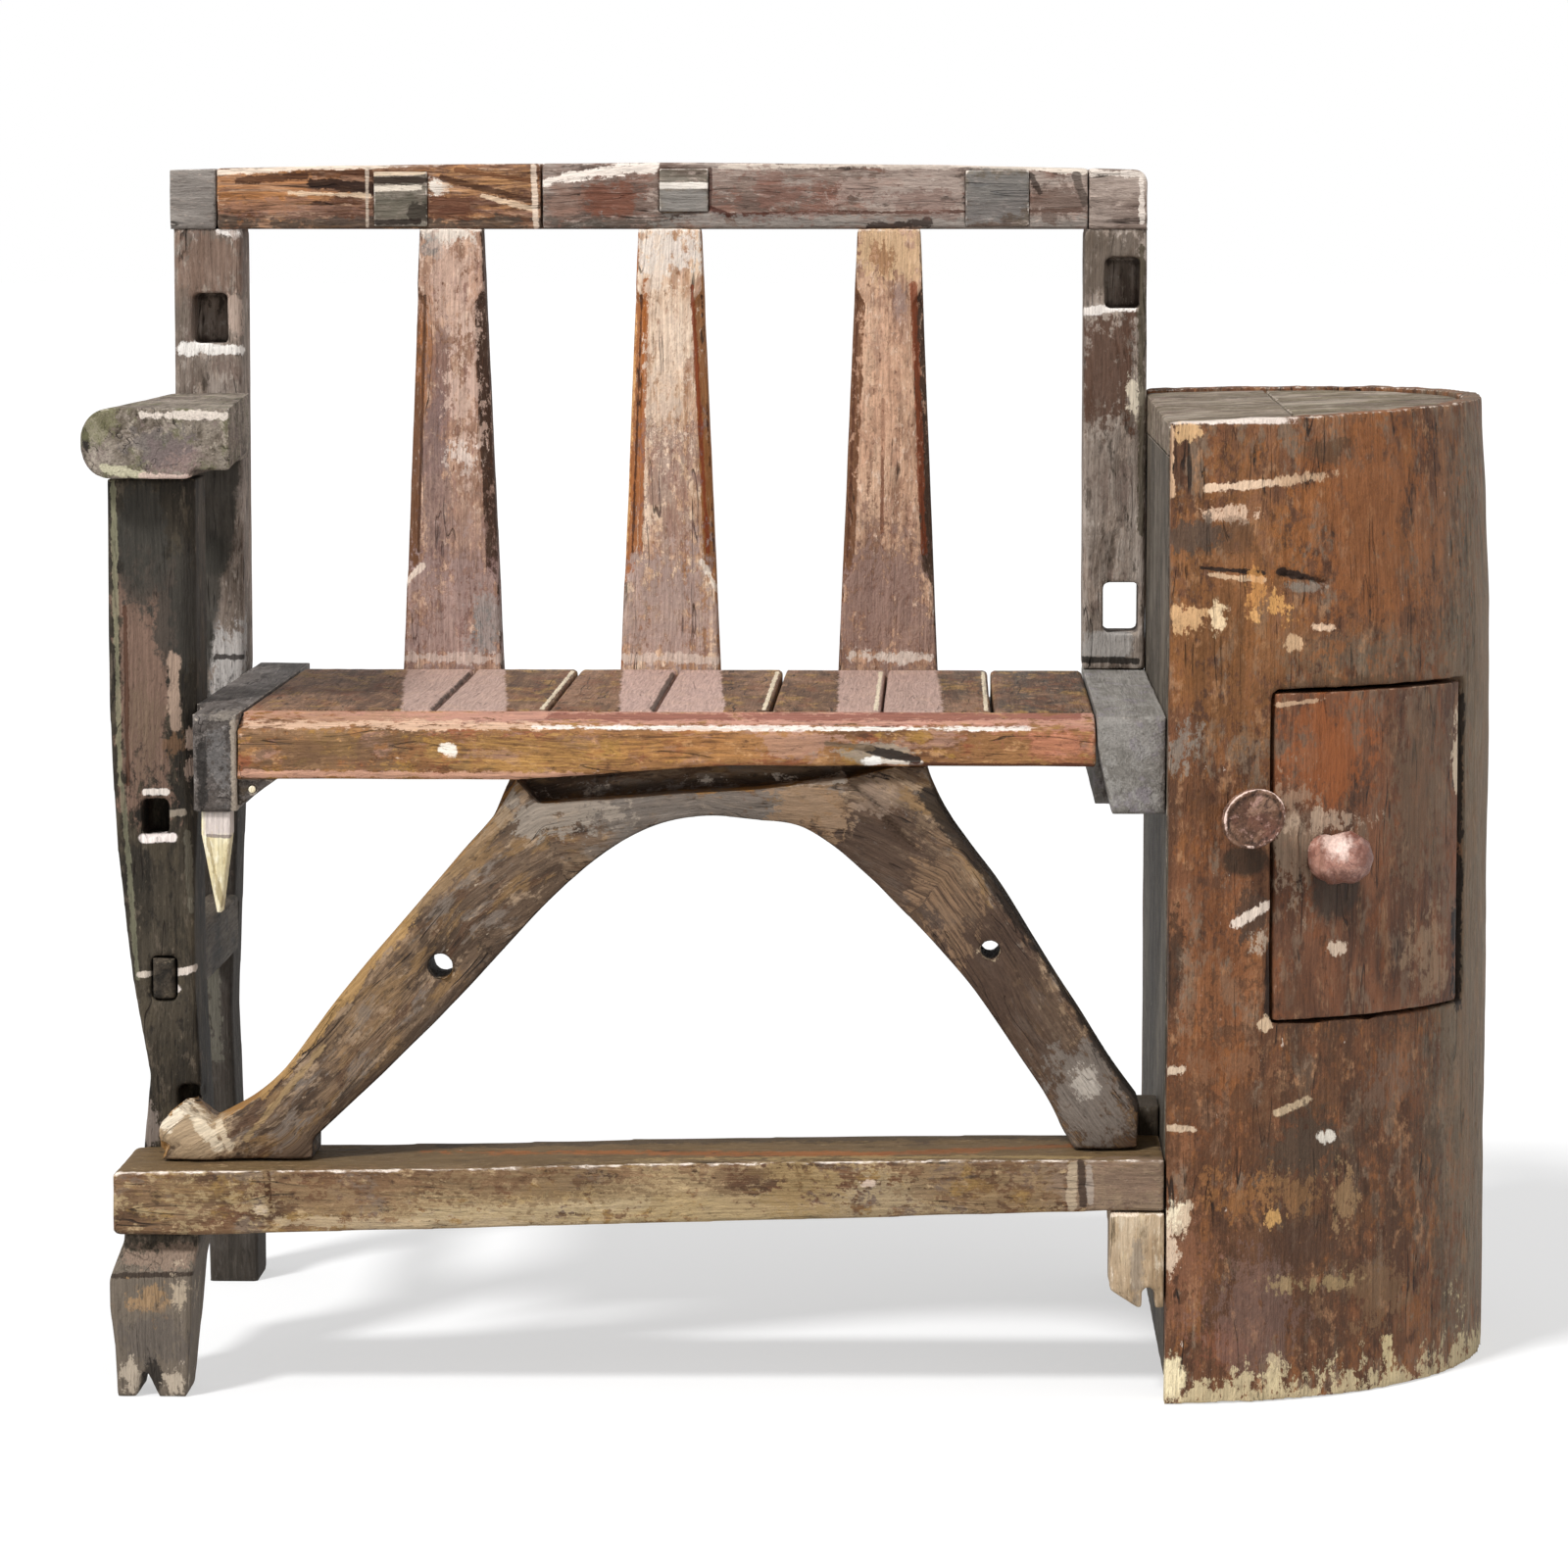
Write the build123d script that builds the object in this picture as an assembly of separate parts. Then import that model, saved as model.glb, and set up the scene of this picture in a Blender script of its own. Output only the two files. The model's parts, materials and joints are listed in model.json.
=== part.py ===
from build123d import *
import math
import os

# Rustic bench in weathered timber. A plank seat with a slatted back stands on a
# carved leg at its left and on a hollowed half log at its right. The log is a
# small cupboard, with a curved door in its round side.
# Millimetres. +X is to the right seen from the front, the front faces -Y, +Z is
# up, and the origin is on the floor in the middle of the overall box, which the
# knob of the door stands out to at the front.

# Overall size
overall_width = 974.0
overall_height = 835.0

# Clearances and the overrun of cuts
joint_clearance = 0.3
running_clearance = 0.08
overrun = 5.0
arris = 3.0

# Half log
log_depth = 450.0
log_reach = 235.0
log_front_height = 660.0
log_rise = 8.0
log_back_rise = 9.0
log_narrowing = 7.0
log_shoulder_share = 0.8
log_wall = 24.0
side_board_thickness = 16.0
side_board_lift = 14.0
top_board_ledge = 8.0
top_board_seat = 636.0
top_board_drop = 3.0
top_board_left_width = 87.0
cupboard_floor_thickness = 18.0

# Door of the cupboard, angles measured round the log from its front corner
door_bottom = 259.0
door_height = 220.0
door_free_angle = 18.6
door_hinge_angle = 64.0
door_gap = 1.6
door_hinge_gap = 2.4
pintle_radius = 5.0
pintle_length = 13.0
pintle_headroom = 2.0
stop_thickness = 12.0
stop_cover = 9.0
stop_width = 19.0

# Whittled knob
knob_angle = 27.6
knob_height = 371.0
knob_radius = 18.5
knob_standoff = 30.0
knob_neck_radius = 10.0
knob_tenon_radius = 7.0
knob_sides = 9
knob_rings = 7
knob_ring_share = 0.6

# Oval turn button on its shank
button_angle = 11.4
button_height = 398.0
button_long = 44.0
button_short = 39.0
button_thickness = 8.0
button_rim_width = 3.0
button_rim_height = 2.0
button_standoff = 16.0
button_eccentricity = 8.0
button_tilt = 30.0
shank_radius = 6.0
shank_tail = 13.0
cotter_radius = 2.5
cotter_length = 22.0
cotter_inset = 6.0

# Back of the bench
crest_height = 49.0
crest_crown = 5.0
crest_thickness = 48.0
crest_setback = 393.0
crest_overhang = 2.0
crest_left_block = 35.0
crest_right_block = 44.0
crest_seam_share = 0.382
crest_block_round = 10.0
patch_depth = 4.0
patch_pride = 0.6
post_width = 51.0
post_right_width = 47.0
post_depth = 50.0
post_setback = 395.0
slat_top_width = 47.0
slat_foot_width = 76.0
slat_thickness = 26.0
slat_setback = 390.0
slat_pitch_share = 0.2236
slat_shift = 9.0
slat_chamfer = 9.0
slat_chamfer_depth = 8.0
slat_collar = 42.0
slat_block = 62.0
slat_stop = 12.0
tenon_width = 26.0
tenon_thickness = 12.0
tenon_length = 16.0

# Mortises that are left from an earlier use
old_mortise_width = 25.0
old_mortise_height = 37.0
old_mortise_depth = 32.0
post_mortise_drop = 47.0
post_mortise_shift = 2.0
right_mortise_drop = 21.0
right_mortise_low = 27.0
right_mortise_shift = 5.0
leg_mortise_width = 17.5
leg_mortise_height = 23.5
leg_mortise_drop = 24.0
leg_mortise_inset = 31.5
leg_notch_level = 181.0
leg_notch_height = 16.0
leg_notch_width = 15.0
leg_notch_depth = 20.0

# Arm rest
arm_thickness = 49.0
arm_drop = 169.0
arm_overhang = 19.0
arm_front_width = 105.5
arm_back_width = 66.0
arm_back_inset = 10.0
arm_setback = 75.0
arm_horn = 17.0
arm_corner_round = 18.0
arm_step = 6.0

# Left front leg
leg_width = 60.5
leg_pride = 4.5
leg_depth = 60.0
leg_arris = 8.0
foot_height = 104.0
foot_front_shares = (0.4, 0.82)
foot_sole_depth = 45.0
foot_top_depth = 87.0
foot_shoulder = 14.0
sole_notch_width = 14.0
sole_notch_height = 22.0
stretcher_level = 257.0
stretcher_inset = 36.5
stretcher_tenon_width = 16.0
stretcher_tenon_height = 29.0
stretcher_width = 26.0
stretcher_height = 44.0
stretcher_pride = 2.0

# Bottom rail and the stub of the right front leg
rail_depth = 100.0
rail_left_seat = 111.0
rail_right_seat = 130.5
rail_left_height = 44.0
rail_right_height = 36.5
rail_overhang = 10.0
stub_width = 37.0
stub_foot_level = 65.0
stub_top_level = 186.0
stub_foot_depth = 52.0
stub_depth = 150.0
stub_chamfer_width = 19.0
stub_chamfer_height = 12.5
stub_notch_inset = 6.5
stub_notch_width = 8.0
stub_notch_height = 14.0

# Arch brace
arch_setback = 30.0
arch_thickness = 56.0
arch_crown_ledge = 30.0
arch_left_inset = 27.0
arch_right_inset = 6.5
arch_left_peg_radius = 8.0
arch_right_peg_radius = 6.0

# Seat
seat_top = 462.0
plank_thickness = 22.0
plank_setback = 62.0
plank_end_setback = 388.0
plank_gap = 1.6
seat_rail_setback = 22.0
seat_rail_width = 62.0
seat_rail_front_drop = 9.0
seat_rail_left_height = 44.0
seat_rail_right_height = 34.0
seat_rail_rise_shares = (0.33, 0.57)
seat_rail_arris = 4.0
back_rail_width = 60.0
back_rail_height = 44.0
bearer_left_width = 38.0
bearer_right_width = 46.5
bearer_height = 66.0
bearer_shoulder = 8.0
bearer_nose_chamfer = 10.0
bearer_nose_share = 0.7
brace_width = 27.0
brace_depth = 34.0
brace_peg_radius = 2.5
brace_peg_shares = (0.36, 0.26)
brace_peg_pride = 1.5
wedge_width = 20.0
wedge_head = 16.0
wedge_point = 53.0
wedge_thickness = 18.0
wedge_tip = 3.0

# Places that pieces share
right_end = overall_width / 2
left_end = -right_end
front = -log_depth / 2
log_flat = right_end - log_reach
frame_left = left_end + arm_overhang
crest_length = log_flat - frame_left
post_outer = frame_left + crest_overhang
leg_outer = post_outer - leg_pride
leg_inner = leg_outer + leg_width
post_front = front + post_setback
post_back = post_front + post_depth
crest_underside = overall_height - crest_height
seat_left = leg_inner + bearer_left_width
seat_right = log_flat - bearer_right_width
bearer_underside = seat_top - bearer_height
plank_underside = seat_top - plank_thickness
seat_rail_left_underside = seat_top - seat_rail_left_height
seat_rail_right_underside = seat_top - seat_rail_right_height
leg_front = front + rail_depth
leg_back = leg_front + leg_depth
arm_top = overall_height - arm_drop
arm_underside = arm_top - arm_thickness
stretcher_middle = leg_outer + stretcher_inset
rail_left = post_outer + rail_overhang
door_top = door_bottom + door_height
door_middle = door_bottom + door_height / 2
log_shoulder = log_front_height * log_shoulder_share


def span_box(x_from, x_to, y_from, y_to, z_from, z_to):
    size = (x_to - x_from, y_to - y_from, z_to - z_from)
    middle = ((x_from + x_to) / 2, (y_from + y_to) / 2, (z_from + z_to) / 2)
    return Pos(*middle) * Box(*size)


def front_extrusion(edges, y_from, y_to):
    # An outline of edges drawn at y = 0, stretched from y_from to y_to
    face = make_face(edges)
    return Pos(0, y_from, 0) * extrude(face, amount=y_to - y_from, dir=(0, 1, 0))


def front_polygon(points, y_from, y_to):
    corners = [(x, 0, z) for x, z in points]
    return front_extrusion(Polyline(*corners, close=True), y_from, y_to)


def side_polygon(points, x_from, x_to):
    corners = [(0, y, z) for y, z in points]
    face = make_face(Polyline(*corners, close=True))
    return Pos(x_from, 0, 0) * extrude(face, amount=x_to - x_from, dir=(1, 0, 0))


def plan_polygon(points, z_from, z_to):
    corners = [(x, y, 0) for x, y in points]
    face = make_face(Polyline(*corners, close=True))
    return Pos(0, 0, z_from) * extrude(face, amount=z_to - z_from, dir=(0, 0, 1))


def depth_rod(x, z, radius, y_from, y_to):
    middle = (x, (y_from + y_to) / 2, z)
    return Pos(*middle) * Rot(X=90) * Cylinder(radius, y_to - y_from)


# Half log: the shell, its boards, the door, the knob and the turn button

def log_radii(inset, height):
    above = max(0, height - log_shoulder) / (log_front_height - log_shoulder)
    narrower = inset + log_narrowing * above
    return log_reach - narrower, log_depth / 2 - narrower


def toward(angle):
    turn = math.radians(angle)
    return math.sin(turn), -math.cos(turn)


def log_point(angle, inset, height):
    across, along = log_radii(inset, height)
    x, y = toward(angle)
    radius = 1 / math.hypot(x / across, y / along)
    return log_flat + x * radius, y * radius


def half_log(inset, z_from, z_to):
    sections = []
    levels = [z_from, log_shoulder, z_to] if z_from < log_shoulder < z_to else [z_from, z_to]
    for height in levels:
        across, along = log_radii(inset, height)
        arc = EllipticalCenterArc((0, 0), across, along, start_angle=-90, arc_size=180)
        sections.append(Pos(log_flat, 0, height) * make_face([arc, Line(arc @ 1, arc @ 0)]))
    return loft(sections, ruled=True)


def log_sector(angle_from, angle_to, z_from, z_to):
    reach = 2 * log_reach
    rays = [toward(angle) for angle in (angle_from, angle_to)]
    corners = [(log_flat, 0)] + [(log_flat + reach * x, reach * y) for x, y in rays]
    return plan_polygon(corners, z_from, z_to)


def below_log_top(solid, drop):
    corner = (log_flat, front, log_front_height - drop)
    slope = (-log_rise / log_reach, -log_back_rise / log_depth, 1)
    return split(solid, bisect_by=Plane(corner, z_dir=slope), keep=Keep.BOTTOM)


def radial_place(angle, inset, height):
    # A place on the log's side whose local Z points straight out of the wood
    x, y = log_point(angle, inset, height)
    out_x, out_y = toward(angle)
    return Plane((x, y, height), x_dir=(-out_y, out_x, 0), z_dir=(out_x, out_y, 0))


door_nose = log_wall / 2
hinge_shift = math.degrees((door_nose + door_hinge_gap) / (log_reach - door_nose))
pivot_angle = door_hinge_angle - hinge_shift
pivot_x, pivot_y = log_point(pivot_angle, door_nose, door_middle)
log_stock_height = log_front_height + log_rise + log_back_rise + overrun


def pivot_rod(radius, z_from, z_to):
    return Pos(pivot_x, pivot_y, (z_from + z_to) / 2) * Cylinder(radius, z_to - z_from)


def make_log_shell():
    hollow = half_log(log_wall, 0, log_stock_height)
    shell = half_log(0, 0, log_stock_height) - hollow
    shell -= half_log(log_wall - top_board_ledge, top_board_seat, log_stock_height)
    shell = below_log_top(shell, 0)
    opening_bottom = door_bottom - door_gap
    opening_top = door_top + door_gap
    free_gap = math.degrees(door_gap / log_reach)
    shell -= log_sector(door_free_angle - free_gap, door_hinge_angle, opening_bottom, opening_top)
    socket_radius = pintle_radius + running_clearance
    socket_bottom = door_bottom - pintle_length - running_clearance
    socket_top = door_top + pintle_length + pintle_headroom
    shell -= pivot_rod(socket_radius, socket_bottom, socket_top)
    place = radial_place(button_angle, log_wall / 2, button_height)
    shell -= place * Cylinder(shank_radius + running_clearance, 2 * log_wall)
    return shell


def make_side_board():
    inner = half_log(log_wall + joint_clearance, side_board_lift, top_board_seat)
    slab_end = log_flat + side_board_thickness
    return inner & span_box(log_flat, slab_end, front, -front, side_board_lift, top_board_seat)


def make_top_boards():
    ledge = log_wall - top_board_ledge + joint_clearance
    whole = half_log(ledge, top_board_seat, log_stock_height)
    whole = below_log_top(whole, top_board_drop)
    seam = log_flat + top_board_left_width
    left = whole & span_box(log_flat, seam, front, -front, 0, log_stock_height)
    right = whole & span_box(seam, right_end, front, -front, 0, log_stock_height)
    return left, right


def make_cupboard_floor():
    top = door_bottom - door_gap
    inner = half_log(log_wall + joint_clearance, top - cupboard_floor_thickness, top)
    return inner & span_box(log_flat + side_board_thickness, right_end, front, -front, 0, top)


def make_door_stop():
    z_from = door_bottom - door_gap
    z_to = door_top + overrun
    outer = half_log(log_wall + joint_clearance, z_from, z_to)
    inner = half_log(log_wall + joint_clearance + stop_thickness, z_from, z_to)
    covered = math.degrees(stop_cover / log_reach)
    width = math.degrees(stop_width / log_reach)
    stop_end = door_free_angle + covered
    return (outer - inner) & log_sector(stop_end - width, stop_end, z_from, z_to)


def make_door_panel():
    panel = half_log(0, 0, log_front_height) - half_log(log_wall, 0, log_front_height)
    panel &= log_sector(door_free_angle, pivot_angle, door_bottom, door_top)
    panel += pivot_rod(door_nose, door_bottom, door_top)
    panel += pivot_rod(pintle_radius, door_bottom - pintle_length, door_top + pintle_length)
    place = radial_place(knob_angle, log_wall / 2, knob_height)
    return panel - place * Cylinder(knob_tenon_radius + running_clearance, 2 * log_wall)


def make_door_knob():
    # The ball is a stack of polygons whose radii follow a sine, like knife cuts
    place = radial_place(knob_angle, 0, knob_height)
    rings = []
    for ring in range(knob_rings):
        turn = math.pi * (ring + knob_ring_share) / (knob_rings - 1 + 2 * knob_ring_share)
        radius = knob_radius * math.sin(turn)
        height = knob_standoff - knob_radius * math.cos(turn)
        rings.append(Pos(0, 0, height) * RegularPolygon(radius, knob_sides))
    ball = loft(rings, ruled=True)
    neck_cone = Cone(knob_neck_radius + arris, knob_neck_radius, knob_standoff)
    neck = Pos(0, 0, knob_standoff / 2) * neck_cone
    tenon = Pos(0, 0, -log_wall / 2) * Cylinder(knob_tenon_radius, log_wall)
    trim = half_log(-running_clearance, 0, log_front_height)
    return (place * (ball + neck) - trim) + place * tenon


def make_turn_button():
    place = radial_place(button_angle, 0, button_height)
    centre = Pos(button_eccentricity, 0, 0) * Rot(Z=button_tilt)
    disc_middle = button_standoff + button_thickness / 2
    oval = Ellipse(button_long / 2, button_short / 2)
    disc = centre * Pos(0, 0, button_standoff) * extrude(oval, amount=button_thickness)
    hollow = Ellipse(button_long / 2 - button_rim_width, button_short / 2 - button_rim_width)
    hollow_level = button_standoff + button_thickness - button_rim_height
    disc -= centre * Pos(0, 0, hollow_level) * extrude(hollow, amount=button_rim_height + overrun)
    shank_end = -log_wall - shank_tail
    shank_middle = (disc_middle + shank_end) / 2
    shank = Pos(0, 0, shank_middle) * Cylinder(shank_radius, disc_middle - shank_end)
    eye = Rot(X=90) * Cylinder(cotter_radius + running_clearance, 4 * shank_radius)
    shank -= Pos(0, 0, shank_end + cotter_inset) * eye
    return place * (disc + shank)


def make_button_cotter():
    place = radial_place(button_angle, 0, button_height)
    level = cotter_inset - log_wall - shank_tail
    return place * Pos(0, 0, level) * Rot(X=90) * Cylinder(cotter_radius, cotter_length)


# Back: posts, crest rail and slats

def slat_centres():
    middle = (frame_left + log_flat) / 2 + slat_shift
    pitch = crest_length * slat_pitch_share
    return [middle + pitch * step for step in (-1, 0, 1)]


def slat_tenon(centre, clearance, z_from, z_to):
    half = tenon_width / 2 + clearance
    y_middle = front + slat_setback + slat_thickness / 2
    half_thick = tenon_thickness / 2 + clearance
    y_from = y_middle - half_thick
    y_to = y_middle + half_thick
    return span_box(centre - half, centre + half, y_from, y_to, z_from, z_to)


def make_back_slat(centre):
    # Heights of the sections up the slat, with the chamfer that each one has
    foot = plank_underside
    stop = seat_top + slat_block
    collar = crest_underside - slat_collar
    slight = slat_chamfer / slat_chamfer_depth
    levels = [
        (foot, slight),
        (stop, slight),
        (stop + slat_stop, slat_chamfer),
        (collar - slat_stop, slat_chamfer),
        (collar, slight),
        (crest_underside, slight),
    ]
    y_front = front + slat_setback
    y_back = y_front + slat_thickness
    sections = []
    for level, chamfer_width in levels:
        share = (level - foot) / (crest_underside - foot)
        half = (slat_foot_width + (slat_top_width - slat_foot_width) * share) / 2
        chamfer_depth = chamfer_width * slat_chamfer_depth / slat_chamfer
        corners = [
            (centre - half, y_back, level),
            (centre - half, y_front + chamfer_depth, level),
            (centre - half + chamfer_width, y_front, level),
            (centre + half - chamfer_width, y_front, level),
            (centre + half, y_front + chamfer_depth, level),
            (centre + half, y_back, level),
        ]
        sections.append(make_face(Polyline(*corners, close=True)))
    slat = loft(sections, ruled=True)
    slat += slat_tenon(centre, 0, crest_underside - overrun, crest_underside + tenon_length)
    return slat + slat_tenon(centre, 0, foot - tenon_length, foot + overrun)


def crest_stock():
    corner_rise = overall_height - crest_crown
    middle = (frame_left + log_flat) / 2
    left_corner = (frame_left, 0, corner_rise)
    right_corner = (log_flat, 0, corner_rise)
    crown = ThreePointArc(left_corner, (middle, 0, overall_height), right_corner)
    sides = Polyline(
        right_corner,
        (log_flat, 0, crest_underside),
        (frame_left, 0, crest_underside),
        left_corner,
    )
    y_from = front + crest_setback
    return front_extrusion([crown, sides], y_from, y_from + crest_thickness)


# Each patch in the crest: its left edge and width as shares of the crest, then
# its underside and top as shares of the crest's height
patch_shares = [
    (0.210, 0.055, 0.04, 0.86),
    (0.502, 0.050, 0.26, 0.90),
    (0.814, 0.065, 0.04, 0.88),
]


def patch_boxes(clearance, pride):
    boxes = []
    y_face = front + crest_setback
    for start_share, width_share, low_share, high_share in patch_shares:
        x_from = frame_left + crest_length * start_share
        x_to = x_from + crest_length * width_share
        z_from = crest_underside + crest_height * low_share
        z_to = crest_underside + crest_height * high_share
        box = span_box(
            x_from - clearance, x_to + clearance,
            y_face - pride, y_face + patch_depth,
            z_from - clearance, z_to + clearance,
        )
        boxes.append(box)
    return boxes


def make_crest():
    stock = crest_stock()
    y_from = front + crest_setback
    y_to = y_from + crest_thickness
    outer_edges = stock.edges().filter_by(Axis.Y)
    round_corner = outer_edges.sort_by(Axis.Z)[-2:].sort_by(Axis.X)[-1]
    stock = fillet([round_corner], crest_block_round)
    long_edges = stock.faces().sort_by(Axis.Y)[0].edges().filter_by(Axis.X)
    stock = fillet(long_edges, arris)
    for centre in slat_centres():
        top = crest_underside + tenon_length + joint_clearance
        stock -= slat_tenon(centre, joint_clearance, crest_underside - overrun, top)
    for recess in patch_boxes(joint_clearance, overrun):
        stock -= recess
    cuts = [
        frame_left,
        frame_left + crest_left_block,
        frame_left + crest_length * crest_seam_share,
        log_flat - crest_right_block,
        log_flat,
    ]
    lengths = []
    for x_from, x_to in zip(cuts, cuts[1:]):
        lengths.append(stock & span_box(x_from, x_to, y_from, y_to, crest_underside, overall_height))
    return lengths


# Outlines of the left post and the leg, from the floor up: the inset from the
# outer or inner face as a share of the width, then the height as a share
post_outer_shares = [(0.39, 0.0), (0.36, 0.08), (0.25, 0.19), (0.11, 0.38), (0.0, 0.60), (0.0, 1.0)]
post_inner_shares = [
    (0.0, 1.0), (0.0, 0.59), (0.09, 0.50), (0.24, 0.26), (0.16, 0.13), (-0.12, 0.06), (-0.12, 0.0),
]


def shaped_outline(outer_shares, inner_shares, outer, inner, height):
    width = inner - outer
    left = [(outer + width * inset, height * up) for inset, up in outer_shares]
    right = [(inner - width * inset, height * up) for inset, up in inner_shares]
    return left + right


def blind_mortise(x_middle, z_from, y_face, depth):
    half = old_mortise_width / 2
    z_to = z_from + old_mortise_height
    return span_box(x_middle - half, x_middle + half, y_face - overrun, y_face + depth, z_from, z_to)


def make_back_post_left():
    inner = post_outer + post_width
    outline = shaped_outline(post_outer_shares, post_inner_shares, post_outer, inner, crest_underside)
    post = front_polygon(outline, post_front, post_back)
    upright = post.edges().filter_by(Axis.Z).group_by(Axis.Y)[0]
    post = chamfer(upright, arris)
    middle = post_outer + post_width / 2 + post_mortise_shift
    level = crest_underside - post_mortise_drop - old_mortise_height
    post -= blind_mortise(middle, level, post_front, old_mortise_depth)
    socket_end = stretcher_back_end() + joint_clearance
    return post - stretcher_tenon(joint_clearance, post_front - overrun, socket_end)


def make_back_post_right():
    left = log_flat - post_right_width
    post = span_box(left, log_flat, post_front, post_back, seat_top, crest_underside)
    post = chamfer(post.edges().filter_by(Axis.Z).group_by(Axis.Y)[0], arris)
    middle = (left + log_flat) / 2 + right_mortise_shift
    upper = crest_underside - right_mortise_drop - old_mortise_height
    lower = seat_top + right_mortise_low
    post -= blind_mortise(middle, upper, post_front, old_mortise_depth)
    post -= blind_mortise(middle, lower, post_front, post_depth + overrun)
    return post + right_post_tenon(0)


def right_post_tenon(clearance):
    middle = log_flat - post_right_width / 2
    half = tenon_width / 2 + clearance
    y_middle = (post_front + post_back) / 2
    half_thick = tenon_thickness / 2 + clearance
    z_from = seat_top - tenon_length - clearance
    y_from = y_middle - half_thick
    y_to = y_middle + half_thick
    return span_box(middle - half, middle + half, y_from, y_to, z_from, seat_top)


# Left end: leg, arm rest and stretcher

leg_outer_shares = [
    (0.26, 0.0), (0.24, 0.06), (0.19, 0.10), (0.19, 0.13), (0.324, 0.17),
    (0.342, 0.25), (0.42, 0.33), (0.23, 0.44), (0.07, 0.585), (0.0, 0.745), (0.0, 1.0),
]
leg_inner_shares = [
    (0.0, 1.0), (0.0, 0.64), (0.037, 0.55), (0.037, 0.44), (-0.032, 0.31), (-0.056, 0.25),
    (-0.18, 0.18), (-0.18, 0.168), (-0.13, 0.138), (-0.107, 0.08), (-0.056, 0.0),
]


def leg_tenon(clearance):
    middle = (leg_outer + leg_inner) / 2
    y_middle = (leg_front + leg_back) / 2
    half = tenon_width / 2 + clearance
    half_thick = tenon_thickness / 2 + clearance
    y_from = y_middle - half_thick
    y_to = y_middle + half_thick
    z_to = arm_underside + tenon_length + clearance
    return span_box(middle - half, middle + half, y_from, y_to, arm_underside - overrun, z_to)


def stretcher_back_end():
    return post_front + post_depth / 2


def stretcher_tenon(clearance, y_from, y_to):
    half = stretcher_tenon_width / 2 + clearance
    x_from = stretcher_middle - half
    x_to = stretcher_middle + half
    z_to = stretcher_level + stretcher_tenon_height + clearance
    return span_box(x_from, x_to, y_from, y_to, stretcher_level - clearance, z_to)


def make_side_stretcher():
    x_from = stretcher_middle - stretcher_width / 2
    x_to = x_from + stretcher_width
    z_from = stretcher_level + (stretcher_tenon_height - stretcher_height) / 2
    z_to = z_from + stretcher_height
    body = span_box(x_from, x_to, leg_back, post_front, z_from, z_to)
    body = chamfer(body.edges().filter_by(Axis.Y), arris)
    return body + stretcher_tenon(0, leg_front - stretcher_pride, stretcher_back_end())


def make_front_leg():
    # Side view: the foot steps forward under the bottom rail, the leg rises
    # behind it, and the back of the foot runs in towards the sole
    low_share, high_share = foot_front_shares
    side = [
        (front + arris, 0),
        (front, foot_height * low_share),
        (front, foot_height * high_share),
        (front + foot_shoulder, foot_height),
        (front + foot_shoulder, rail_left_seat),
        (leg_front, rail_left_seat),
        (leg_front, arm_underside),
        (leg_back, arm_underside),
        (leg_back, rail_left_seat + overrun),
        (front + foot_top_depth, foot_height - 2 * overrun),
        (front + foot_sole_depth, 0),
    ]
    outline = shaped_outline(leg_outer_shares, leg_inner_shares, leg_outer, leg_inner, arm_underside)
    leg = front_polygon(outline, front, leg_back)
    leg &= side_polygon(side, leg_outer - leg_width, leg_inner + leg_width)
    z_from = (bearer_underside + stretcher_level) / 2
    corner = [(leg_inner, leg_front), (leg_inner - leg_arris, leg_front), (leg_inner, leg_front + leg_arris)]
    leg -= plan_polygon(corner, z_from, arm_underside + overrun)
    y_from = leg_front - overrun
    y_to = leg_front + old_mortise_depth
    x_to = leg_outer + leg_mortise_inset + leg_mortise_width / 2
    z_from = bearer_underside - leg_mortise_drop
    leg -= span_box(x_to - leg_mortise_width, x_to, y_from, y_to, z_from, z_from + leg_mortise_height)
    y_to = leg_front + leg_notch_depth
    z_to = leg_notch_level + leg_notch_height
    leg -= span_box(leg_inner - leg_notch_width, leg_inner, y_from, y_to, leg_notch_level, z_to)
    sole_middle = (leg_outer + leg_inner) / 2 + sole_notch_width / 2
    half = sole_notch_width / 2
    leg -= front_polygon(
        [(sole_middle - half, 0), (sole_middle - half / 2, sole_notch_height), (sole_middle + half, 0)],
        front - overrun, front + foot_top_depth,
    )
    leg -= stretcher_tenon(joint_clearance, front, leg_back + overrun)
    return leg + leg_tenon(0)


def make_arm_rest():
    y_from = front + arm_setback
    y_to = post_front + arm_horn
    inner_front = left_end + arm_front_width
    half = arm_thickness / 2
    section = [
        ThreePointArc(
            (left_end + half, 0, arm_underside),
            (left_end, 0, arm_underside + half),
            (left_end + half, 0, arm_top),
        ),
        Polyline(
            (left_end + half, 0, arm_top),
            (inner_front, 0, arm_top),
            (inner_front, 0, arm_underside),
            (left_end + half, 0, arm_underside),
        ),
    ]
    arm = front_extrusion(section, y_from, y_to)
    back_left = left_end + arm_back_inset
    plan = Polyline(
        (left_end, y_from, 0),
        (inner_front, y_from, 0),
        (back_left + arm_back_width, y_to, 0),
        (back_left, y_to, 0),
        (left_end, front + log_depth / 2, 0),
        close=True,
    )
    slab = extrude(make_face(plan), amount=arm_top, dir=(0, 0, 1))
    corner = slab.edges().filter_by(Axis.Z).group_by(Axis.Y)[0].sort_by(Axis.X)[0]
    arm = arm & fillet([corner], arm_corner_round)
    arm -= span_box(leg_inner, inner_front, y_from, y_to, arm_underside, arm_underside + arm_step)
    arm -= span_box(post_outer, inner_front, post_front, y_to, arm_underside, arm_top)
    return arm - leg_tenon(joint_clearance)


# Bottom rail, stub and arch

rail_top_shares = [(0.0, 0.0), (0.31, 0.28), (0.51, 0.62), (0.75, 0.89), (1.0, 1.0)]


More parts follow.
